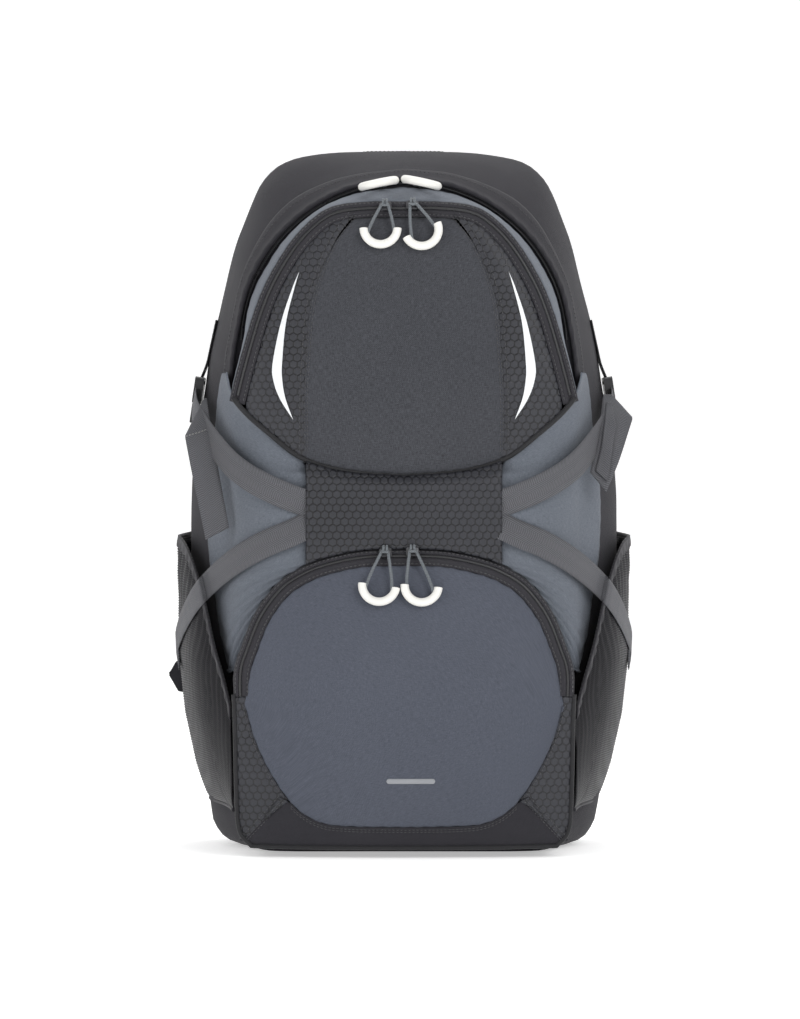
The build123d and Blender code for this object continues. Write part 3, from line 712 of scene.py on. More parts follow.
def piece(obj, material, body="pack", replaces=()):
    """Gives a finished mesh its material and attaches it to the body named by a string; a mesh given a fold is
    left fixed where it stands. Hides the CAD nodes it stands for.
    """
    obj.data.materials.clear()
    obj.data.materials.append(M[material])
    if isinstance(body, str):
        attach(obj, body)
    else:
        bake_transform(obj)
    if replaces:
        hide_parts(*replaces)
    return obj


# ---- cords ----
def pull_place(name, side):
    """How a pull's own flat shape is set in the pack at rest."""
    swing = {"main": -88.0, "front": -10.0, "lower": -10.5}[name]
    roll = {"main": {"left": -11.5, "right": 12.0}}.get(name, {}).get(side, 0.0)
    turn = Euler((math.radians(swing), math.radians(roll), 0), "XYZ").to_matrix()
    return turn, Vector(joint(f"{name}_pull_swing_{side}"))


def placed(points, turn, place):
    """A pull's or the handle's own points, set in the pack."""
    return [tuple(turn @ Vector(p) + place) for p in points]


def add_cord(name, side, lean, drop, turn_grip, length):
    """A cord loop that hangs from its slider's ring and runs through its grip."""
    turn, place = pull_place(name, side)
    corner = GRIP_RADIUS / math.cos(math.radians(22.5))
    ring_x, ring_z = 1.9, -1.2
    route = [(-ring_x, 0, ring_z)]
    for angle in (202.5, 247.5, 292.5, 337.5):
        a = math.radians(angle + turn_grip)
        route.append((lean + corner * math.cos(a), 0, -drop + corner * math.sin(a)))
    route.append((ring_x, 0, ring_z))
    points = [tuple((turn @ Vector(p) + place) * MM) for p in route]
    curve = bpy.data.curves.new(f"{name}_loop_{side}", "CURVE")
    curve.dimensions = "3D"
    curve.bevel_depth = CORD / 2 * MM
    curve.bevel_resolution = 4
    curve.resolution_u = 24
    curve.use_fill_caps = True
    line = curve.splines.new("NURBS")
    line.points.add(len(points) - 1)
    for point, position in zip(line.points, points):
        point.co = (*position, 1.0)
    line.order_u = 3
    line.use_endpoint_u = True
    obj = linked(f"{name}_loop_{side}", curve)
    curve.materials.append(M["pull_cord"])
    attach(obj, f"{name}_pull_{side}")
    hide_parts(f"{name}_cord_{side}")
    # The lark's head where the loop grips the slider's ring: two turns side by side, and a strand across.
    around = np.linspace(0, 2 * math.pi, 17)
    knot = [np.stack([np.full(17, x), 1.9 * np.sin(around), -0.2 + 2.1 * np.cos(around)], 1)
            for x in (-1.2, 1.2)]
    knot.append([(-2.6, -1.0, -2.6), (-1.4, -2.3, -2.9), (0, -2.6, -3.0), (1.4, -2.3, -2.9),
                 (2.6, -1.0, -2.6)])
    wraps = [tube(f"{name}_knot_{side}_{i}", placed(line, turn, place), 0.95) for i, line in enumerate(knot)]
    wrap = joined(f"{name}_knot_{side}", wraps)
    piece(wrap, "pull_cord", f"{name}_pull_{side}")


for row in (("main", "left", -2.0, 17, 0, 74.4), ("main", "right", 2.0, 17, 0, 74.4),
            ("front", "left", -3.2, 19.5, 0, 79.3), ("front", "right", 6.6, 21.5, 25, 84.7),
            ("lower", "left", -4.3, 27, -8, 93.9), ("lower", "right", 6.6, 28, -5, 96.0)):
    add_cord(*row)


# ---- body shell ----
FRONT_LINE = whole(smooth(BODY_FRONT, 110))
WIDEST_LINE = whole(smooth(BODY_WIDEST, 110))
BACK_LINE = whole(smooth(BODY_BACK, 110))


def body_section(y):
    """The pack's outline in the front view at a depth, as (x, z)."""
    if y <= WIDEST_Y:
        t = (y - FRONT_Y) / (WIDEST_Y - FRONT_Y)
        t = 0.55 * t + 0.45 * math.sin(t * math.pi / 2)
        return FRONT_LINE * (1 - t) + WIDEST_LINE * t
    t = (y - WIDEST_Y) / (BACK_Y - WIDEST_Y)
    t = 0.5 * t + 0.5 * (1 - math.cos(t * math.pi / 2))
    return WIDEST_LINE * (1 - t) + BACK_LINE * t


def at_depth(outline, y):
    """A front-view line at one depth."""
    return np.stack([outline[:, 0], np.full(len(outline), y), outline[:, 1]], 1)


def radial(outline, centre, rows):
    """A grid from a closed line to a point inside it."""
    t = (1 - np.linspace(1, 0, rows) ** 1.3)[:, None, None]
    return outline[None] * (1 - t) + np.asarray(centre, float)[None, None] * t


def body_shell():
    """The sides, the two walls behind the front pieces and the pads, and the piping at the back."""
    depths = np.concatenate([np.linspace(FRONT_Y, WIDEST_Y, 20), np.linspace(WIDEST_Y, BACK_Y, 18)[1:]])
    ring = np.stack([at_depth(body_section(y), y) for y in depths])
    soft = cloth_surface(ring, 11, dip=0.6, pucker=0.25, wrinkle=0.7, sew=(0, 1, 0, 0))
    soft[:, :, 2] = np.where(ring[:, :, 2] < 6, np.maximum(ring[:, :, 2], 0.4), soft[:, :, 2])
    ring_piece = grid_piece("body_shell", soft)
    piece(ring_piece, "charcoal_fabric",
          replaces=("base_panel", "left_side_panel", "right_side_panel", "top_panel"))
    for name, line, y, centre, stands_for in (
            ("front_wall", FRONT_LINE, FRONT_Y, (0, FRONT_Y, 250), "partition_panel"),
            ("back_wall", BACK_LINE, BACK_Y, (0, BACK_Y, 250), "back_panel")):
        wall = radial(at_depth(line, y), centre, 24)
        wall = cloth_surface(wall, 13, dip=0, wrinkle=0.5, sew=(0, 0, 0, 0))
        obj = grid_piece(name, wall, uv="front")
        piece(obj, "charcoal_fabric", replaces=(stands_for,))
    edge = at_depth(inset(BACK_LINE, -0.5), BACK_Y)[4:-4]
    edge = edge[edge[:, 2] > 1.5]
    piece(tube("back_piping", edge, 1.8), "piping")
    return ring_piece


def tree_of(objects):
    """A ray target made of several finished meshes."""
    vertices, faces = [], []
    for obj in objects:
        base = len(vertices)
        vertices += [tuple(v.co / MM) for v in obj.data.vertices]
        faces += [tuple(base + i for i in p.vertices) for p in obj.data.polygons]
    return BVHTree.FromPolygons(vertices, faces)


def hits(points, tree, start=-250.0):
    """The depth of the nearest surface behind each front-view point, or infinity."""
    depths = []
    for x, z in np.asarray(points, float).reshape(-1, 2):
        hit = tree.ray_cast(Vector((x, start, z)), Vector((0, 1, 0)))[0]
        depths.append(hit.y if hit else math.inf)
    return np.array(depths)


def drape(line, tree, lift):
    """A front-view line (x, z) laid on the surface seen from the front, as points."""
    line = np.asarray(line, float)
    depth = hits(line, tree)
    good = np.isfinite(depth)
    if not good.all():
        depth = np.interp(np.arange(len(depth)), np.nonzero(good)[0], depth[good])
    return np.stack([line[:, 0], depth - lift, line[:, 1]], 1)


def drape_grid(flat, tree, lift):
    """A grid of front-view points laid on the surface seen from the front."""
    return np.array([drape(row, tree, lift) for row in flat])


BODY = body_shell()


# ---- front compartment ----
RIM_LINE = whole(smooth(RIM, 80))
ROOT = [around_zip(a, 119.3) for a in (0, 16, 28, 40, 52, 66, 78, 90)] + [(127, 335)]
ROOT_LINE = whole(smooth(ROOT, 80))
INNER_RIM = whole(inset(smooth(RIM, 80), ZIP_WIDTH))


def front_gusset():
    """The slate ring between the front compartment's rim and the body."""
    rim = on(panel_y, RIM_LINE) + [0, 0.6, 0]
    root = at_depth(ROOT_LINE, FRONT_Y - 0.5)
    inside = (0, -60, 350)
    grid = cloth_surface(ruled(rim, root, 16), 21, dip=0.8, pucker=0.3, wrinkle=0.5, puff=1.2, inside=inside,
                         sew=(1, 1, 0, 0))
    obj = grid_piece("front_gusset_cloth", grid, inside=inside)
    piece(obj, "slate_fabric", replaces=("front_gusset",))


def coil_line(line, depth, lift, pitch=1.4):
    """Points along a zip, two to each coil."""
    laid_line = on(depth, line) - [0, lift, 0]
    count = int(lengths(laid_line[None], 1)[0, -1] / pitch) * 2
    return even(laid_line, count)


def zip_band(name, outer, inner, depth, seed, body, stands_for, coil_inset, coil_floor):
    """A band of zip tape with welts beside its coil, and two rows of stitches."""
    rows = 15
    t = np.linspace(0, 1, rows)
    face = on(depth, ruled(outer, inner, rows))
    middle = coil_inset / ZIP_WIDTH
    raised = 0.9
    welt = sum(raised * np.exp(-((t - middle - place) / 0.12) ** 2) for place in (0.23, -0.23))
    face[..., 1] -= (0.4 + welt - raised * np.exp(-((t - middle) / 0.1) ** 2))[:, None]
    face = cloth_surface(face, seed, dip=0.9, pucker=0.2, wrinkle=0.25, sew=(1, 1, 0, 0))
    band = grid_piece(name, face)
    tree = tree_of([band])
    piece(band, "zip_tape", body, stands_for)
    middle_line = inset(outer, coil_inset)
    if coil_floor is not None:
        middle_line = middle_line[middle_line[:, 1] > coil_floor]
    coil = tube(f"{name}_coil", coil_line(middle_line, depth, 0.1), 1.35, 8, ridges=0.34)
    piece(coil, "zip_coil", body)
    rows_of_thread = []
    for k, gap in enumerate((1.7, ZIP_WIDTH - 1.6)):
        track = inset(outer, gap)
        rows_of_thread.append(stitches(f"{name}_thread_{k}", drape(track[1:-1], tree, 0.1)))
    piece(joined(f"{name}_thread", rows_of_thread), "dark_thread", body)
    return band


front_gusset()
FRONT_BAND = zip_band("front_band", RIM_LINE, INNER_RIM, panel_y, 23, "front_flap",
                      ("front_zip",), 5.4, 338)


def centre_panel():
    """Heathered middle panel between the two side seams, in one piece over the fold."""
    seam = smooth(SEAM, 70)
    columns = np.linspace(-1, 1, 61)
    top_z = line_height(INNER_RIM, seam[0, 0] * columns)
    bottom_z = line_height(whole(smooth(PIPING, 80)), seam[-1, 0] * columns)
    v = np.linspace(0, 1, len(seam))[:, None]
    x = (seam[:, :1] + 0.7) * columns[None]
    z = seam[:, 1:] + (1 - v) ** 2 * (top_z - seam[0, 1])[None] + v ** 2 * (bottom_z - seam[-1, 1])[None]
    grid = np.stack([x, panel_y(x, z) - 0.3, z], -1)
    grid = cloth_surface(grid, 31, dip=1.2, pucker=0.28, wrinkle=0.6, puff=2.0)
    return grid_piece("centre_panel", grid)


def side_panel(mirror):
    """A hexagon panel between the side seam and the zip band. Its edge lies under the centre panel's."""
    seam = smooth(SEAM, 70)
    rim = INNER_RIM[len(INNER_RIM) // 2:]
    rim = rim[(rim[:, 0] > SEAM[0][0]) & (rim[:, 1] > 333)]
    outer = np.vstack([[SEAM[0]], rim, [(116.5, 327)], [(109, 319.5), (100, 312), (88, 301.5)], [SEAM[-1]]])
    under = seam - [2.2, 0]
    grid = on(panel_y, between(under, even(outer, 70), 27)) - [0, 0.3, 0]
    if mirror:
        grid[..., 0] *= -1
    grid = cloth_surface(grid, 33 + mirror, dip=1.0, pucker=0.3, wrinkle=0.45, puff=1.4, sew=(1, 1, 0, 0))
    return grid_piece("side_panel_left" if mirror else "side_panel_right", grid, uv="front")


def fold(flap, height):
    reach = 10
    return "pack", flap, (0, 0, (height - reach) * MM), (0, 0, (height + reach) * MM)


FOLD = fold("front_flap", PANEL_FOLD_Z)
CENTRE = centre_panel()
SIDES = [side_panel(False), side_panel(True)]
PANEL_TREE = tree_of([CENTRE, *SIDES, FRONT_BAND])


def panel_trims():
    """Seams, stitches, reflective slivers and the piping under the panel."""
    seam = smooth(SEAM, 90)
    threads = []
    for side in (1, -1):
        for k, gap in enumerate((-2.0, 1.8, 3.6)):
            track = inset(seam, gap)[2:-2] * [side, 1]
            threads.append(stitches(f"seam_thread_{side}_{k}", drape(track, PANEL_TREE, 0.1), 2.9, 0.36))
    piece(joined("seam_threads", threads), "dark_thread", FOLD)
    outer = smooth([(77, 430), (82, 418), (90.5, 392), (96.6, 362), (95.8, 349), (91, 336), (81.5, 321)], 60)
    inner = smooth([(77, 430), (80.5, 418), (86.8, 392), (89.6, 362), (89.4, 350), (87.2, 337),
                    (81.5, 321)], 60)
    slivers = []
    for side in (1, -1):
        flat = between(inner * [side, 1], outer * [side, 1], 7)
        slivers.append(grid_piece(f"sliver_{side}", drape_grid(flat, PANEL_TREE, 0.75), 0.5, uv="front"))
    piece(joined("reflective_curves", slivers), "reflective_tape", FOLD,
          ("reflective_slivers",))
    line = whole(smooth(PIPING, 90))
    line = line[np.abs(line[:, 0]) < 126]
    track = drape(line, PANEL_TREE, 0.2)
    track[:, 1] = averaged(track[:, 1], 6) - 0.5
    piece(tube("panel_piping", track, 1.9), "piping")


panel_trims()
for obj, material in ((CENTRE, "heather_fabric"), (SIDES[0], "hex_fabric"), (SIDES[1], "hex_fabric")):
    names = ("front_panel", "front_panel_base") if obj is CENTRE else ("front_side_panels",)
    piece(obj, material, FOLD, names)


# ---- mid band ----
ARCH = smooth(POCKET_ARCH, 120)


def mid_band():
    """The hexagon band between the two front pockets, which steps out just under the piping."""
    x = np.linspace(-72, 72, 61)
    top = line_height(whole(smooth(PIPING, 90)), x)
    bottom = line_height(whole(ARCH[:70]), x)
    v = np.linspace(0, 1, 31)[:, None]
    z = top[None] * (1 - v) + bottom[None] * v
    rise = np.clip(v / 0.14, 0, 1)
    step_out = 5.0 * rise * rise * (3 - 2 * rise)
    crown = np.sin(math.pi * v) * (1 - (x[None] / 80) ** 2)
    front = -90.4 - step_out - 0.8 * v - 0.8 * crown
    grid = np.stack([np.broadcast_to(x, z.shape), front, z], -1)
    grid = cloth_surface(grid, 41, dip=0.8, pucker=0.3, wrinkle=0.5)
    piece(grid_piece("mid_band_cloth", grid, uv="front"), "hex_fabric", replaces=("mid_band",))


mid_band()


# ---- wings ----
def wing(mirror):
    """Slate cloth that wraps from the front seams round to the side of the pack."""
    arch = smooth(POCKET_ARCH, 200)
    arch = arch[(arch[:, 0] > 71) & (arch[:, 1] > 137)]
    inner = np.vstack([[(132, 356)], smooth(PIPING[2:], 40)[::-1][2:], [(71.5, 286), (71, 240)], arch,
                       [(129.5, 135)]])
    inner = even(inner, 90)
    outer = even(smooth(WING_EDGE, 160), 90)
    body_tree = tree_of([BODY])
    rows = 46
    share = np.linspace(0, 1, rows)[:, None]
    flat = ruled(inner, outer, rows)
    curve_y = plan_y(flat[..., 0])
    inner_y = np.where(inner[:, 1] > 284, panel_y(inner[:, 0], inner[:, 1]) + 1.6, curve_y[0])
    side_y = hits(outer, body_tree)
    side_y = np.where(np.isfinite(side_y), side_y, plan_y(outer[:, 0])) - 1.2
    shift = inner_y - curve_y[0]
    depth = curve_y + shift[None] * (1 - share) ** 3
    depth = depth * (1 - share ** 5) + side_y[None] * share ** 5
    body_y = hits(flat, body_tree).reshape(depth.shape)
    depth = np.minimum(depth, np.where(np.isfinite(body_y), body_y - 1.8, depth))
    grid = np.stack([flat[..., 0], depth, flat[..., 1]], -1)
    if mirror:
        grid[..., 0] *= -1
    run, away = lengths(grid, 1), lengths(grid, 0)
    crease = np.sin(run / 15.0 * 2 * math.pi + 1.5 * rumple(grid, 40.0, 57)) * np.exp(-away / 22.0)
    crease *= 1.7 * np.clip((222 - grid[..., 2]) / 20, 0, 1)
    inside = (0, 0, 250)
    grid = grid + outward(grid_normals(grid), grid, inside) * crease[..., None]
    grid = cloth_surface(grid, 51 + mirror, dip=0.5, pucker=0.12, wrinkle=0.8, puff=1.6, inside=inside,
                         sew=(1, 1, 0, 0))
    return grid_piece("wing_left" if mirror else "wing_right", grid, inside=inside)


WINGS = joined("wings_cloth", [wing(False), wing(True)])
piece(WINGS, "slate_fabric", replaces=("wings",))


# ---- lower pocket ----
POCKET_LOW = [(112, 8), (60, 7.5), (0, 7.5)]
LOOP_HALF = np.vstack([ARCH, smooth(POCKET_LOW, 50)[1:]])
LOOP = whole(LOOP_HALF)


def lower_gusset():
    """The charcoal ring round the lower pocket, which stays above the floor."""
    rim = on(pocket_y, LOOP) + [0, 0.6, 0]
    root = at_depth(inset(LOOP, 0.6), FRONT_Y - 0.5)
    root[:, 2] = np.maximum(root[:, 2] - 3 * (rim[:, 2] < 30), 1.0)
    inside = (0, -60, 110)
    grid = cloth_surface(ruled(rim, root, 16), 61, dip=0.8, pucker=0.2, wrinkle=0.5, inside=inside,
                         sew=(1, 0, 0, 0))
    grid[..., 2] = np.maximum(grid[..., 2], 0.4)
    obj = grid_piece("lower_gusset_cloth", grid, inside=inside)
    piece(obj, "charcoal_fabric", replaces=("lower_gusset",))


lower_gusset()
ARCH_TOP = np.array([p for p in smooth(POCKET_ARCH, 240) if p[1] > 117])
ARCH_BAND = whole(even(ARCH_TOP, 80))
ARCH_INNER = whole(inset(even(ARCH_TOP, 80), ZIP_WIDTH))
LOWER_BAND = zip_band("lower_band", ARCH_BAND, ARCH_INNER, pocket_y, 63, "lower_flap",
                      ("lower_zip",), 5.0, None)


def pocket_edges():
    """The lower panel's upper and lower borders, both from the left corner to the right one."""
    corner = (117, 113)
    top = ARCH_INNER[3:-3]
    top = np.vstack([[(-corner[0], corner[1])], top[np.abs(top[:, 0]) < 113], [corner]])
    bottom = whole(smooth(POCKET_PANEL, 80))
    return even(top, 121), even(bottom, 121)


def lower_panel():
    top, bottom = pocket_edges()
    grid = on(pocket_y, between(top, bottom, 60)) - [0, 0.2, 0]
    grid = cloth_surface(grid, 65, dip=1.1, pucker=0.35, wrinkle=0.9, puff=1.6, sew=(1, 1, 0, 0))
    return grid_piece("lower_panel_cloth", grid)


LOWER_FOLD = fold("lower_flap", POCKET_FOLD_Z)
LOWER = lower_panel()


def pocket_border(name, inner, outer, seed, uv="front", mirror=False):
    """A piece of the lower pocket's front, beside or below its panel."""
    grid = on(pocket_y, between(even(inner, 60), even(outer, 60), 22)) - [0, 0.2, 0]
    if mirror:
        grid[..., 0] *= -1
    grid = cloth_surface(grid, seed, dip=0.8, pucker=0.25, wrinkle=0.5, puff=0.4)
    return grid_piece(name, grid, uv=uv)


PANEL_HALF = smooth(POCKET_PANEL, 80)
CORNER_INNER = [p for p in PANEL_HALF[::-1] if p[0] > 84]
ARCH_LOW = [p for p in smooth(POCKET_ARCH, 240) if 9.5 < p[1] < 119]
CORNER_LINE = np.vstack([[(112.6, 118.6), (116.4, 114)], CORNER_INNER, [(91, 45)]])
CORNERS = [pocket_border(f"corner_panel_{m}", CORNER_LINE, ARCH_LOW, 67 + m, mirror=bool(m)) for m in (0, 1)]
BASE_INNER = [p for p in PANEL_HALF if p[0] < 84]
BASE_PANEL = pocket_border("lower_front_base", whole(np.vstack([BASE_INNER, [(90.5, 44)]])),
                           whole(np.array([(0, 8), (60, 8), (112, 9), (121, 12)])), 69, uv="arc")
POCKET_TREE = tree_of([LOWER, *CORNERS, BASE_PANEL, LOWER_BAND])


def pocket_trims():
    """Stitches, the piping round the lower pocket, and the small reflective bar."""
    threads = []
    for side in (1, -1):
        diagonal = np.array([(90.5, 44), (105, 28), (120, 12)]) * [side, 1]
        inner = np.array(CORNER_INNER) * [side, 1]
        for k, gap in enumerate((-1.5, 1.7, 3.4)):
            track = even(diagonal, 30) - [side * gap * 0.7, gap * 0.7]
            threads.append(stitches(f"corner_thread_{side}_{k}", drape(track, POCKET_TREE, 0.1), 2.9, 0.36))
        track = even(inner, 50) + [side * 1.6, -0.6]
        threads.append(stitches(f"panel_thread_{side}", drape(track, POCKET_TREE, 0.1), 2.9, 0.34))
    bottom = whole(even(np.array(BASE_INNER), 60))
    for k, gap in enumerate((1.8, 3.4)):
        threads.append(stitches(f"bottom_thread_{k}", drape(bottom - [0, gap], POCKET_TREE, 0.1), 2.9, 0.36))
    piece(joined("pocket_threads", threads), "dark_thread")
    half = LOOP_HALF[LOOP_HALF[:, 1] < 121]
    line = on(pocket_y, np.vstack([half, half[-2::-1] * [-1, 1]])) - [0, 0.2, 0]
    piece(tube("pocket_piping", line, 1.6), "piping")
    x = np.linspace(-13, 23, 37)
    half = np.sqrt(np.maximum(0, 1.9 ** 2 - np.maximum(np.abs(x - 5) - 16.1, 0) ** 2))
    flat = np.stack([np.stack([x, 56.5 + half * s], 1) for s in (1, 0.33, -0.33, -1)])
    bar = grid_piece("reflective_bar", drape_grid(flat, POCKET_TREE, 0.35), 0.3, uv="front")
    piece(bar, "printed_grey")


pocket_trims()
piece(LOWER, "lower_slate", LOWER_FOLD, ("lower_panel", "lower_panel_base"))
piece(joined("corner_cloth", CORNERS), "hex_fabric", replaces=("corner_panels",))
piece(BASE_PANEL, "charcoal_fabric", replaces=("lower_base_panel",))


# ---- stretch side pockets ----
MESH_FOOT_Z = 34
MESH_TOP_Z = 240
POCKET_SWELL = [(34, 0.0), (62, 9.0), (100, 17.0), (142, 22.0), (200, 22.0), (240, 22.0)]
HEM = [(-95, 94), (-60, 150), (-10, 222), (80, 240)]


def pocket_plan(swell):
    return smooth([(127, -86), (131 + swell * 0.5, -55), (140 + swell * 0.9, -15), (149 + swell, 30),
                   (149 + swell, 48), (146 + swell * 0.6, 77)], 110)


def mesh_pocket(mirror):
    """Ribbed stretch cloth: full at the bottom, gathered into its hem at the top."""
    levels, swells = np.array(POCKET_SWELL).T
    base = pocket_plan(15.0)
    hem_line = smooth(HEM, 200)
    top = np.interp(base[:, 1], hem_line[:, 0], hem_line[:, 1])
    rib = 2.1
    rows = int((MESH_TOP_Z - MESH_FOOT_Z) / rib * 2) + 1
    share = np.linspace(0, 1, rows)
    grid = np.zeros((rows, len(base), 3))
    plans = {}
    for i, t in enumerate(share):
        z = MESH_FOOT_Z + t * (top - MESH_FOOT_Z)
        for j, height in enumerate(z):
            swell = round(float(np.interp(height, levels, swells)), 1)
            if swell not in plans:
                plans[swell] = pocket_plan(swell)
            grid[i, j] = (*plans[swell][j], height)
    if mirror:
        grid[..., 0] *= -1
    normal = outward(grid_normals(grid), grid, (0, 10, 140))
    run = lengths(grid, 1)
    below = lengths(grid, 0)
    below = below[-1:] - below
    wobble = rumple(grid, 30.0, 71 + mirror)
    folds = np.sin(run / 12.0 * 2 * math.pi + wobble * 4)
    gather = np.exp(-below / 30.0) * (1 - np.exp(-(below / 9.0) ** 2)) * folds
    zigzag = np.where(np.arange(rows) % 2 == 0, 1.0, -1.0)[:, None]
    rise = gather * 1.6 + 0.28 * zigzag + 0.7 * rumple(grid, 40.0, 75)
    rise -= 2.2 * np.exp(-(grid[..., 2] - MESH_FOOT_Z) / 5.0)
    grid = grid + normal * rise[..., None]
    side = "left" if mirror else "right"
    cloth = grid_piece(f"mesh_cloth_{side}", grid, 0.9, inside=(0, 10, 140))
    band = []
    for depth, lift in ((0.0, -0.6), (-0.3, 0.6), (1.0, 1.15), (4.0, 1.0), (7.6, 1.15),
                        (8.6, 0.5), (8.7, -0.3)):
        row = []
        for j in range(len(base)):
            place = [np.interp(-depth, -below[:, j], grid[:, j, k]) for k in range(3)]
            out = [np.interp(-depth, -below[:, j], normal[:, j, k]) for k in range(3)]
            row.append(np.array(place) + np.array(out) * lift + [0, 0, -min(depth, 0.0)])
        band.append(row)
    hem = grid_piece(f"mesh_hem_{side}", np.array(band), 0.8, inside=(0, 10, 140))
    seam = tube(f"mesh_seam_{side}", even(grid[0], 90), 1.4)
    return cloth, hem, seam


POCKETS = [mesh_pocket(False), mesh_pocket(True)]
MESH = joined("mesh_cloth", [POCKETS[0][0], POCKETS[1][0]])
piece(MESH, "stretch_mesh", replaces=("mesh_pockets",))
piece(joined("mesh_binding", [p for row in POCKETS for p in row[1:]]), "binding")


# ---- webbing ----
def pressed_clear(grid, targets):
    """Webbing moved forwards, evenly along its length, until it lies in front of the targets."""
    plain = grid[:, :, 1].copy()
    shift = np.zeros(len(grid))
    for k, ring in enumerate(grid):
        depth = hits(ring[:, [0, 2]], targets)
        gap = np.max(np.where(np.isfinite(depth), ring[:, 1] - (depth - 0.3), -9.0)[9:])
        shift[k] = -max(gap, 0.0)
    grid[:, :, 1] = plain + np.minimum(averaged(shift, 4), shift)[:, None]


def ribbon(name, centre, width, thickness=WEBBING, inside=(0, 40, 250), count=80, targets=None):
    """Flat webbing along a line, its back towards the inside, and in front of any targets."""
    line = smooth(centre, count)
    ahead = headings(line)
    out = line - np.asarray(inside, float)
    out[:, 2] *= 0.15
    out -= ahead * np.sum(out * ahead, axis=1)[:, None]
    out /= np.linalg.norm(out, axis=1)[:, None]
    side = np.cross(ahead, out)
    section = [(s, thickness / 2 * (1 if abs(s) < 0.49 else 0.35)) for s in np.linspace(-0.5, 0.5, 9)]
    section += [(s, -d) for s, d in section[::-1]]
    grid = np.stack([line + side * (s * width) + out * (d + thickness / 2) for s, d in section], 1)
    if targets is not None:
        pressed_clear(grid, targets)
    along = np.broadcast_to(lengths(line[None], 1)[0][:, None], grid.shape[:2])
    spread = np.broadcast_to(np.array([s for s, _ in section]) * width, grid.shape[:2])
    uvs = np.stack([along, spread + STRAP_WIDTH], -1).reshape(-1, 2)
    obj = mesh_object(name, grid.reshape(-1, 3), closed_faces(count, len(section)), uvs)
    face_out(obj, line[len(line) // 2])
    return obj


UPPER_LINE = [(66, -90.2, 258), (73, -91.2, 260.2), (85, -92.6, 264.5), (101, -91.2, 271.5),
              (116, -81.5, 280), (129, -68.5, 290.5), (143, -42.5, 307), (152, -20, 320), (157, -6, 329), (158.5, 10, 337),
              (157.5, 21, 342)]
LOWER_LINE = [(66, -90.0, 245), (73, -91.0, 242), (85, -91.8, 236.5), (101, -88.3, 230), (117, -76.5, 221.5),
              (131, -60, 212), (144, -36.5, 201), (155, -12, 189), (164, 9, 175), (170, 26, 163),
              (173.5, 44, 152), (171, 70, 142)]
SURFACES = tree_of([BODY, WINGS, MESH])
for label, side in (("right", 1), ("left", -1)):
    legs = [ribbon(f"{leg}_strap_{label}", np.array(line) * [side, 1, 1], STRAP_WIDTH, targets=SURFACES)
            for leg, line in (("upper", UPPER_LINE), ("lower", LOWER_LINE))]
    piece(joined(f"crossing_straps_{label}", legs), "grey_webbing",
          replaces=(f"{label}_straps",))


TAIL_HANG = [(1, 346), (-28, 325), (-46, 300), (-56, 270), (-65, 228)]


def tail(name, left, right, seed):
    """A loose strap end between its two edges in the front view, hanging on its own curve."""
    share = np.linspace(0, 1, 60)
    edges = []
    for edge in (left, right):
        edge = np.array(edge, float)
        z = edge[0, 1] + (edge[-1, 1] - edge[0, 1]) * share
        edges.append(np.stack([np.interp(-z, -edge[:, 1], edge[:, 0]), z], 1))
    grid = ruled(*edges, 9)
    hang = np.array(TAIL_HANG, float)[::-1]
    y = np.interp(grid[..., 1], hang[:, 1], hang[:, 0])
    y = np.stack([averaged(row, 4) for row in y])
    grid = np.stack([grid[..., 0], y - 0.8, grid[..., 1]], -1)
    across = np.linspace(-1, 1, 9)[:, None]
    grid[..., 1] -= 0.9 * np.sin(share * 9 + seed)[None] * across * share[None]
    along = lengths(grid, 1)
    uvs = np.stack([along, lengths(grid, 0) + STRAP_WIDTH / 2], -1).reshape(-1, 2)
    obj = mesh_object(name, grid.reshape(-1, 3), grid_faces(9, 60), uvs)
    return thicken(obj, WEBBING, (0, 100, 300))


def tails():
    """Loose strap ends below the buckles: a long one on the left, a short one on the right."""
    long_tail = tail("long_tail", [(-150.6, 339), (-163.6, 310), (-147, 232.7)],
                     [(-148.6, 339), (-129.6, 241.6)], 0)
    short_tail = tail("short_tail", [(150.5, 342), (144, 305), (138.4, 283)],
                      [(157, 342), (171.6, 324), (160, 291), (150.6, 268)], 2)
    second_layer = tail("short_tail_fold", [(152.6, 336), (147.5, 303), (142.6, 284)],
                        [(156, 336), (158.6, 318), (151, 276)], 1)
    second_layer.location = (0, -1.9 * MM, 0)
    tack = [(-163.0, 309.6), (-152, 313), (-142.6, 317)]
    tree = tree_of([long_tail])
    thread_row = stitches("tail_tack", drape(even(tack, 30), tree, 0.2), 2.4, 0.4)
    piece(thread_row, "pale_thread")
    piece(joined("tail_webbing", [long_tail, short_tail, second_layer]), "grey_webbing",
          replaces=("strap_tails",))


tails()


def side_webbing():
    """The short upright webbing above each side buckle."""
    pieces = []
    for side in (1, -1):
        line = np.array([(154.2, 23, 353), (151.2, 23, 360), (148.7, 23, 367), (146.7, 23, 376),
                         (144.3, 23, 387), (141.7, 23, 399)])
        pieces.append(ribbon(f"anchor_{side}", line * [side, 1, 1], STRAP_WIDTH, inside=(0, 23, 370),
                             count=30))
    piece(joined("side_anchor_webbing", pieces), "black_webbing", replaces=("side_webbing",))


side_webbing()


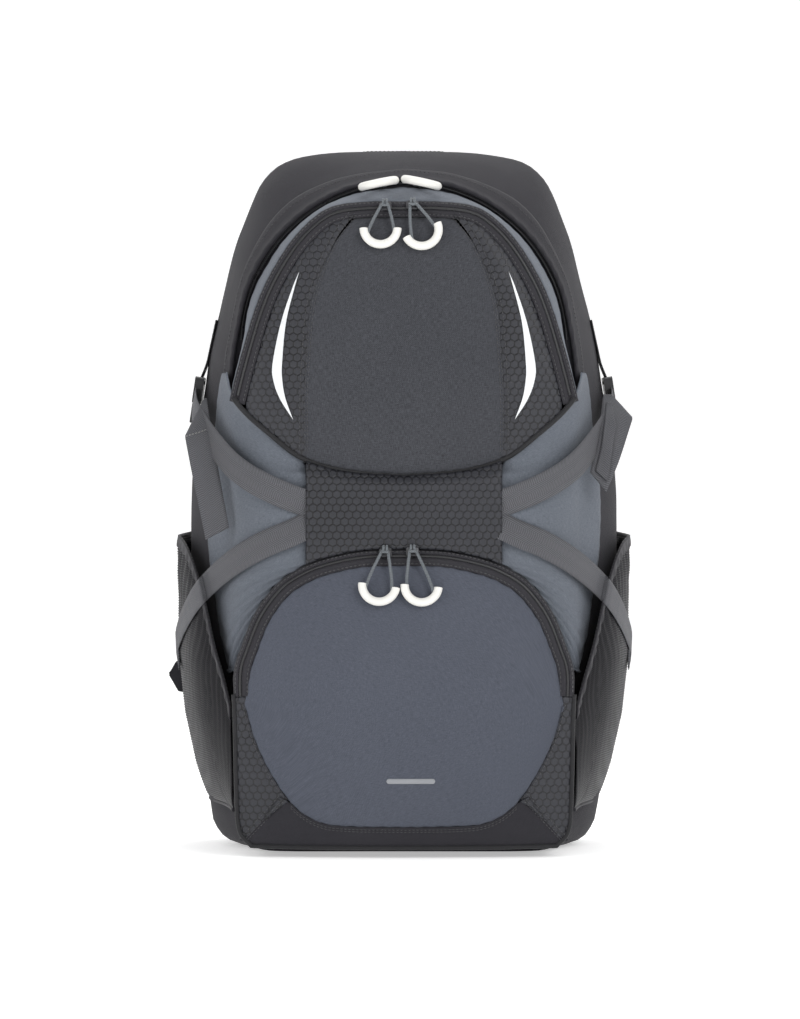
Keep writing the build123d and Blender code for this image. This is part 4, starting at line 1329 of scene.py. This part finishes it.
# ---- padded back and shoulder straps ----
def inflate(obj, limit):
    """Cloth simulation: the piece swells from inside, and no point moves further than limit."""
    pressure, frames, voxel = 4.0, 20, 4.5
    remesh = obj.modifiers.new("even", "REMESH")
    remesh.mode = "VOXEL"
    remesh.voxel_size = voxel * MM
    apply_modifiers(obj)
    rest = np.array([v.co for v in obj.data.vertices])
    cloth = obj.modifiers.new("swell", "CLOTH")
    cloth.settings.quality = 5
    cloth.settings.use_pressure = True
    cloth.settings.uniform_pressure_force = pressure
    cloth.settings.tension_stiffness = 12
    cloth.settings.compression_stiffness = 12
    cloth.settings.bending_stiffness = 0.6
    cloth.settings.effector_weights.gravity = 0
    cloth.point_cache.frame_start = 1
    cloth.point_cache.frame_end = frames
    for frame_number in range(1, frames + 1):
        bpy.context.scene.frame_set(frame_number)
    apply_modifiers(obj)
    bpy.context.scene.frame_set(1)
    now = np.array([v.co for v in obj.data.vertices])
    move = now - rest
    size = np.linalg.norm(move, axis=1, keepdims=True)
    now = rest + move * np.minimum(1.0, limit * MM / np.maximum(size, 1e-9))
    obj.data.vertices.foreach_set("co", now.astype(np.float32).ravel())
    smoother = obj.modifiers.new("even out", "SMOOTH")
    smoother.factor = 0.5
    smoother.iterations = 4
    division = obj.modifiers.new("finer", "SUBSURF")
    division.levels = 1
    apply_modifiers(obj)
    obj.data.shade_smooth()


def lofted(name, rings):
    """A closed mesh through rings of points, with flat ends."""
    rings = np.asarray(rings)
    points = rings.reshape(-1, 3)
    obj = mesh_object(name, points, closed_faces(*rings.shape[:2]))
    face_out(obj, points.mean(axis=0))
    return obj


def oval(half_width, half_depth):
    """A section between an oval and a rounded rectangle."""
    power, sides = 2.6, 28
    turn = np.linspace(0, 2 * math.pi, sides, endpoint=False)
    c, s = np.cos(turn), np.sin(turn)
    return np.stack([half_width * np.sign(c) * np.abs(c) ** (2 / power),
                     half_depth * np.sign(s) * np.abs(s) ** (2 / power)], 1)


STRAP_SIDE = [(80.8, 500), (91, 482), (108, 440), (115, 370), (109, 290), (95, 222), (88, 190)]
STRAP_INNER = [(14, 520), (22, 440), (30, 370), (43, 290), (65, 185)]
STRAP_OUTER = [(72, 520), (84, 440), (96, 370), (106, 290), (116, 185)]


def shoulder_strap(mirror):
    """A curved foam strap with bound edges."""
    side = -1 if mirror else 1
    middle = smooth(STRAP_SIDE, 60)
    inner, outer = smooth(STRAP_INNER, 200), smooth(STRAP_OUTER, 200)
    ahead = headings(middle)
    out = np.stack([-ahead[:, 1], ahead[:, 0]], 1)
    rings, edges = [], [[], []]
    for i, ((y, z), (ny, nz)) in enumerate(zip(middle, out)):
        x0 = np.interp(-z, -inner[:, 1], inner[:, 0])
        x1 = np.interp(-z, -outer[:, 1], outer[:, 0])
        taper = min(1.0, 0.45 + min(i, 59 - i) / 7)
        section = oval((x1 - x0) / 2 - 1.5, 4.6 * taper)
        centre_y, centre_z = y + ny * 6.5, z + nz * 6.5
        rings.append([(side * ((x0 + x1) / 2 + u), centre_y + ny * v, centre_z + nz * v) for u, v in section])
        for k, x in enumerate((x0 + 0.6, x1 - 0.6)):
            edges[k].append((side * x, centre_y, centre_z))
    label = "left" if mirror else "right"
    strap = lofted(f"shoulder_strap_{label}", rings)
    inflate(strap, 3.0)
    piece(strap, "charcoal_fabric", replaces=("shoulder_straps",))
    binding = [tube(f"strap_binding_{label}_{k}", np.array(line), 2.0) for k, line in enumerate(edges)]
    target = tree_of([strap])
    threads = []
    for share in (0.16, 0.84):
        line = []
        for (y, z), (x0, _, _), (x1, _, _) in zip(middle, edges[0], edges[1]):
            x = x0 + (x1 - x0) * share
            hit = target.ray_cast(Vector((x, 200, z)), Vector((0, -1, 0)))[0]
            if hit and 192 < z < 494:
                line.append((x, hit.y + 0.2, z))
        threads.append(stitches(f"strap_thread_{label}_{share}", np.array(line), 3.4, 0.4,
                                inside=(0, 60, 350)))
    piece(joined(f"strap_trim_{label}", binding), "binding")
    piece(joined(f"strap_threads_{label}", threads), "grey_thread")


shoulder_strap(False)
shoulder_strap(True)


def rounded(half_x, half_z, radius):
    """A rounded rectangle about the origin."""
    count = 72
    corners = [(half_x - radius, half_z - radius, 0), (-half_x + radius, half_z - radius, 90),
               (-half_x + radius, -half_z + radius, 180), (half_x - radius, -half_z + radius, 270)]
    line = []
    for cx, cz, start in corners:
        for a in np.radians(np.linspace(start, start + 90, 12)):
            line.append((cx + radius * math.cos(a), cz + radius * math.sin(a)))
    line.append(line[0])
    return even(np.array(line), count + 1)[:-1]


def back_pad(name, x, z, half_x, half_z, radius, channels):
    """A foam pad sewn to the back panel, pulled down along its channels."""
    profile = [(0.2, 1.0), (1.2, 1.0), (4.0, 0.992), (7.0, 0.97), (8.8, 0.93), (9.6, 0.86), (9.9, 0.7),
               (10.0, 0.4)]
    outline = rounded(half_x, half_z, radius)
    rings = []
    for height, size in profile:
        tall = (half_z - (1 - size) * half_x) / half_z
        rings.append([(x + px * size, BACK_Y + 0.3 + height, z + pz * tall) for px, pz in outline])
    pad = lofted(name, rings)
    inflate(pad, 3.5)
    vertices = np.array([v.co for v in pad.data.vertices]) / MM
    free = np.clip((vertices[:, 1] - BACK_Y - 3) / 6, 0, 1)
    channel_depth, channel_width = 5.5, 4.5
    for axis, place in channels:
        gap = np.abs(vertices[:, axis] - place)
        vertices[:, 1] -= free * channel_depth * np.exp(-(gap / channel_width) ** 2)
    vertices[:, 1] = np.clip(vertices[:, 1], BACK_Y + 0.3, BACK_Y + 12.8)
    pad.data.vertices.foreach_set("co", (vertices * MM).astype(np.float32).ravel())
    lay_cloth(pad.data, vertices[:, [0, 2]] + (vertices[:, [1]] - BACK_Y) * 0.7)
    piece(pad, "air_mesh", replaces=("back_pads",))
    ring = np.array([(x + px * 1.005, BACK_Y + 1.8, z + pz * 1.005) for px, pz in outline])
    piece(tube(f"{name}_binding", np.vstack([ring, ring[:1]]), 1.7), "binding")


back_pad("back_pad_right", 52, 325, 33, 100, 18, [(2, 292), (2, 358)])
back_pad("back_pad_left", -52, 325, 33, 100, 18, [(2, 292), (2, 358)])
back_pad("lumbar_pad", 0, 95, 95, 55, 25, [(0, -32), (0, 32)])


# ---- handle, anchors and sternum webbing ----
def grab_handle():
    """A rolled webbing loop, sewn down at both ends."""
    slope = math.atan2(9, BACK_Y - WIDEST_Y)
    turn = Matrix.Rotation(-slope, 3, "X")
    place = Vector(joint("handle_lifts"))
    flat = [(-36, 0), (-36, -12), (-35.2, -20), (-31, -26), (-24, -28), (0, -28.2), (24, -28), (31, -26),
            (35.2, -20), (36, -12), (36, 0)]
    radius = 3.3
    route = smooth(flat, 90)
    roll = tube("handle_roll", placed([(x, y, 0) for x, y in route], turn, place), radius, 14)
    piece(roll, "black_webbing", "handle", ("grab_handle",))
    row = placed([(x, y, radius) for x, y in route[8:-8]], turn, place)
    thread_row = stitches("handle_thread", row, 3.2, 0.4, inside=(0, 60, 400))
    piece(thread_row, "grey_thread", "handle")
    patches = []
    for x in (-36, 36):
        patch = ribbon(f"handle_patch_{x}", [(x, 66, 521.6), (x, 72, 520.9), (x, 79, 519.8)], 14, 1.4,
                       inside=(x, 60, 300), count=12)
        patches.append(patch)
    piece(joined("handle_patches", patches), "black_webbing")


grab_handle()


def anchors():
    """The webbing below the ladder locks, and the sewn tabs that hold its ends."""
    bands = []
    for side in (1, -1):
        line = np.array([(91, 95.5, 170), (93, 94.5, 163), (104, 91.5, 155), (128, 88, 146), (150, 84.5, 135)])
        bands.append(ribbon(f"anchor_band_{side}", line * [side, 1, 1], 20, inside=(0, 0, 150), count=50))
    piece(joined("anchor_bands", bands), "black_webbing", replaces=("strap_anchors",))
    tabs = []
    for side, reach in ((-1, 182), (1, 167)):
        top = [(122, 158), (150, 149), (reach - 5, 137), (reach, 128)]
        bottom = [(122, 108), (145, 108), (reach - 7, 114), (reach, 126)]
        flat = between(even(top, 40), even(bottom, 40), 16)
        grid = np.stack([flat[..., 0] * side, np.full(flat.shape[:2], BACK_Y + 1.0), flat[..., 1]], -1)
        inside = (0, 0, 130)
        grid = cloth_surface(grid, 81, dip=0.3, pucker=0.2, wrinkle=0.3, inside=inside)
        tabs.append(grid_piece(f"tab_{side}", grid, 1.6, inside=inside))
    piece(joined("anchor_tabs", tabs), "charcoal_fabric")


anchors()


def sternum():
    """Both halves of the sternum strap, and the keepers that hold them to the shoulder straps."""
    y = low("sternum_webbing_left")[1] + 0.1
    height = 400
    for name, (start, bend, end) in (("left", (-66, -44, -22)), ("right", (66, 42, 18))):
        line = [(start, y, height), (bend, y + 0.3, height + 0.4), (end, y, height)]
        strap = ribbon(f"sternum_strap_{name}", line, 18, inside=(bend, 60, height), count=30)
        piece(strap, "black_webbing", f"sternum_{name}", (f"sternum_webbing_{name}",))
    for name, x in (("left", -57), ("right", 57)):
        rings = [[(x + px * size, depth, height + pz * size) for px, pz in rounded(7, 11, 3)]
                 for depth, size in ((y - 11, 1.0), (y - 1.4, 1.0), (y - 0.4, 0.96), (y, 0.9))]
        keeper = lofted(f"sternum_keeper_{name}", rings)
        piece(keeper, "black_plastic", f"sternum_{name}")


sternum()


# ---- rain flap and the main zip ----
def main_closure():
    """The rain flap over the main zip, and the zip's tape and coil under it."""
    rows = [(-30.0, 1.0), (-33.0, 2.2), (-37.0, 2.6), (-41.0, 2.4), (-45.0, 2.3), (-48.5, 1.5), (-50.0, 0.2),
            (-50.4, -1.5)]
    coil_radius, reach = 121.3, 88
    grid = []
    for y, gap in rows:
        outline = inset(body_section(max(y, FRONT_Y)), -gap)
        outline = even(outline[outline[:, 1] > 338], 150)
        grid.append(at_depth(outline, y))
    inside = (0, 0, 300)
    grid = cloth_surface(np.array(grid), 91, dip=0.0, pucker=0.5, wrinkle=0.5, inside=inside,
                         sew=(0, 1, 0, 0))
    flap = grid_piece("rain_flap_cloth", grid, 1.0, inside=inside)
    thread_row = stitches("rain_flap_thread", grid[2][2:-2], 3.2, 0.4, inside=inside)
    piece(flap, "charcoal_fabric", replaces=("rain_flap",))
    piece(thread_row, "dark_thread")
    outer = whole(inset(smooth(BODY_FRONT, 200), 0.4))
    inner = whole(inset(smooth(ROOT, 120), -1.0))
    outer, inner = (even(line[line[:, 1] > 340], 140) for line in (outer, inner))
    tape = ruled(at_depth(outer, FRONT_Y - 1.2), at_depth(inner, FRONT_Y - 1.2), 6)
    piece(grid_piece("main_zip_tape", tape, 0.8), "zip_tape", replaces=("main_zip",))
    circle = np.array([around_zip(a, coil_radius) for a in np.linspace(-reach, reach, 420)])
    line = at_depth(circle, FRONT_Y - 1.6)
    count = int(lengths(line[None], 1)[0, -1] / 1.5) * 2
    piece(tube("main_zip_coil", even(line, count), 1.2, 8, ridges=0.34), "zip_coil")


main_closure()


# ---- CAD pieces that show as they are ----
def finish_node(name, material):
    """Gives a CAD node the material that its slot is named after."""
    node = frame["nodes"][name]
    node.data.materials.clear()
    node.data.materials.append(M[material])


for side in ("left", "right"):
    for zip_name in ("main", "front", "lower"):
        finish_node(f"{zip_name}_slider_{side}", "slider_metal")
        finish_node(f"{zip_name}_grip_{side}", "grip_rubber")
    finish_node(f"{side}_buckle_tongue", "black_plastic")
    finish_node(f"{side}_ladder_lock", "black_plastic")
for name in ("buckle_sockets", "sternum_socket", "sternum_tongue"):
    finish_node(name, "black_plastic")
finish_node("frame_sheet", "frame_plastic")


# ---- light and floor ----
def add_area(name, place, size, power):
    """A soft light that points at the middle of the pack. Its places and sizes are in metres."""
    aim = Vector((0, 0, 0.26))
    data = bpy.data.lights.new(name, "AREA")
    data.shape = "RECTANGLE"
    data.size, data.size_y = size
    data.energy = power
    light = linked(name, data)
    light.location = place
    light.rotation_euler = (aim - Vector(place)).to_track_quat("-Z", "Y").to_euler()


def add_stage():
    """A pale floor that curves up behind the pack."""
    start, bend, side, height = 3.0, 1.6, 40.0, 20.0
    profile = [(-side, 0), (start, 0)]
    profile += [(start + bend * math.sin(a), bend - bend * math.cos(a))
                for a in np.radians(np.linspace(6, 90, 15))]
    profile += [(start + bend, height)]
    vertices = [(x, y, z) for x in (-side, side) for y, z in profile]
    count = len(profile)
    mesh = bpy.data.meshes.new("floor")
    mesh.from_pydata(vertices, [], [(i, i + count, i + count + 1, i + 1) for i in range(count - 1)])
    mesh.shade_smooth()
    floor = linked("floor", mesh)
    n = Nodes("floor")
    n.set(Base_Color=(0.9, 0.9, 0.9, 1.0), Roughness=0.9, Specular_IOR_Level=0.1)
    brightness = 0.42
    n.set(Emission_Color=(1.0, 1.0, 1.0, 1.0), Emission_Strength=brightness)
    mesh.materials.append(n.material)
    world = bpy.data.worlds.new("studio")
    world.use_nodes = True
    background = world.node_tree.nodes["Background"]
    background.inputs[0].default_value = (1, 1, 1, 1)
    background.inputs[1].default_value = brightness
    bpy.context.scene.world = world
    add_area("key", (1.3, -1.9, 1.3), (1.2, 1.6), 26)
    add_area("fill", (-1.7, -1.5, 0.8), (1.2, 1.6), 13)
    add_area("top", (0.0, 0.3, 1.9), (1.8, 1.2), 16)
    bpy.context.scene.view_settings.view_transform = "Standard"


add_stage()
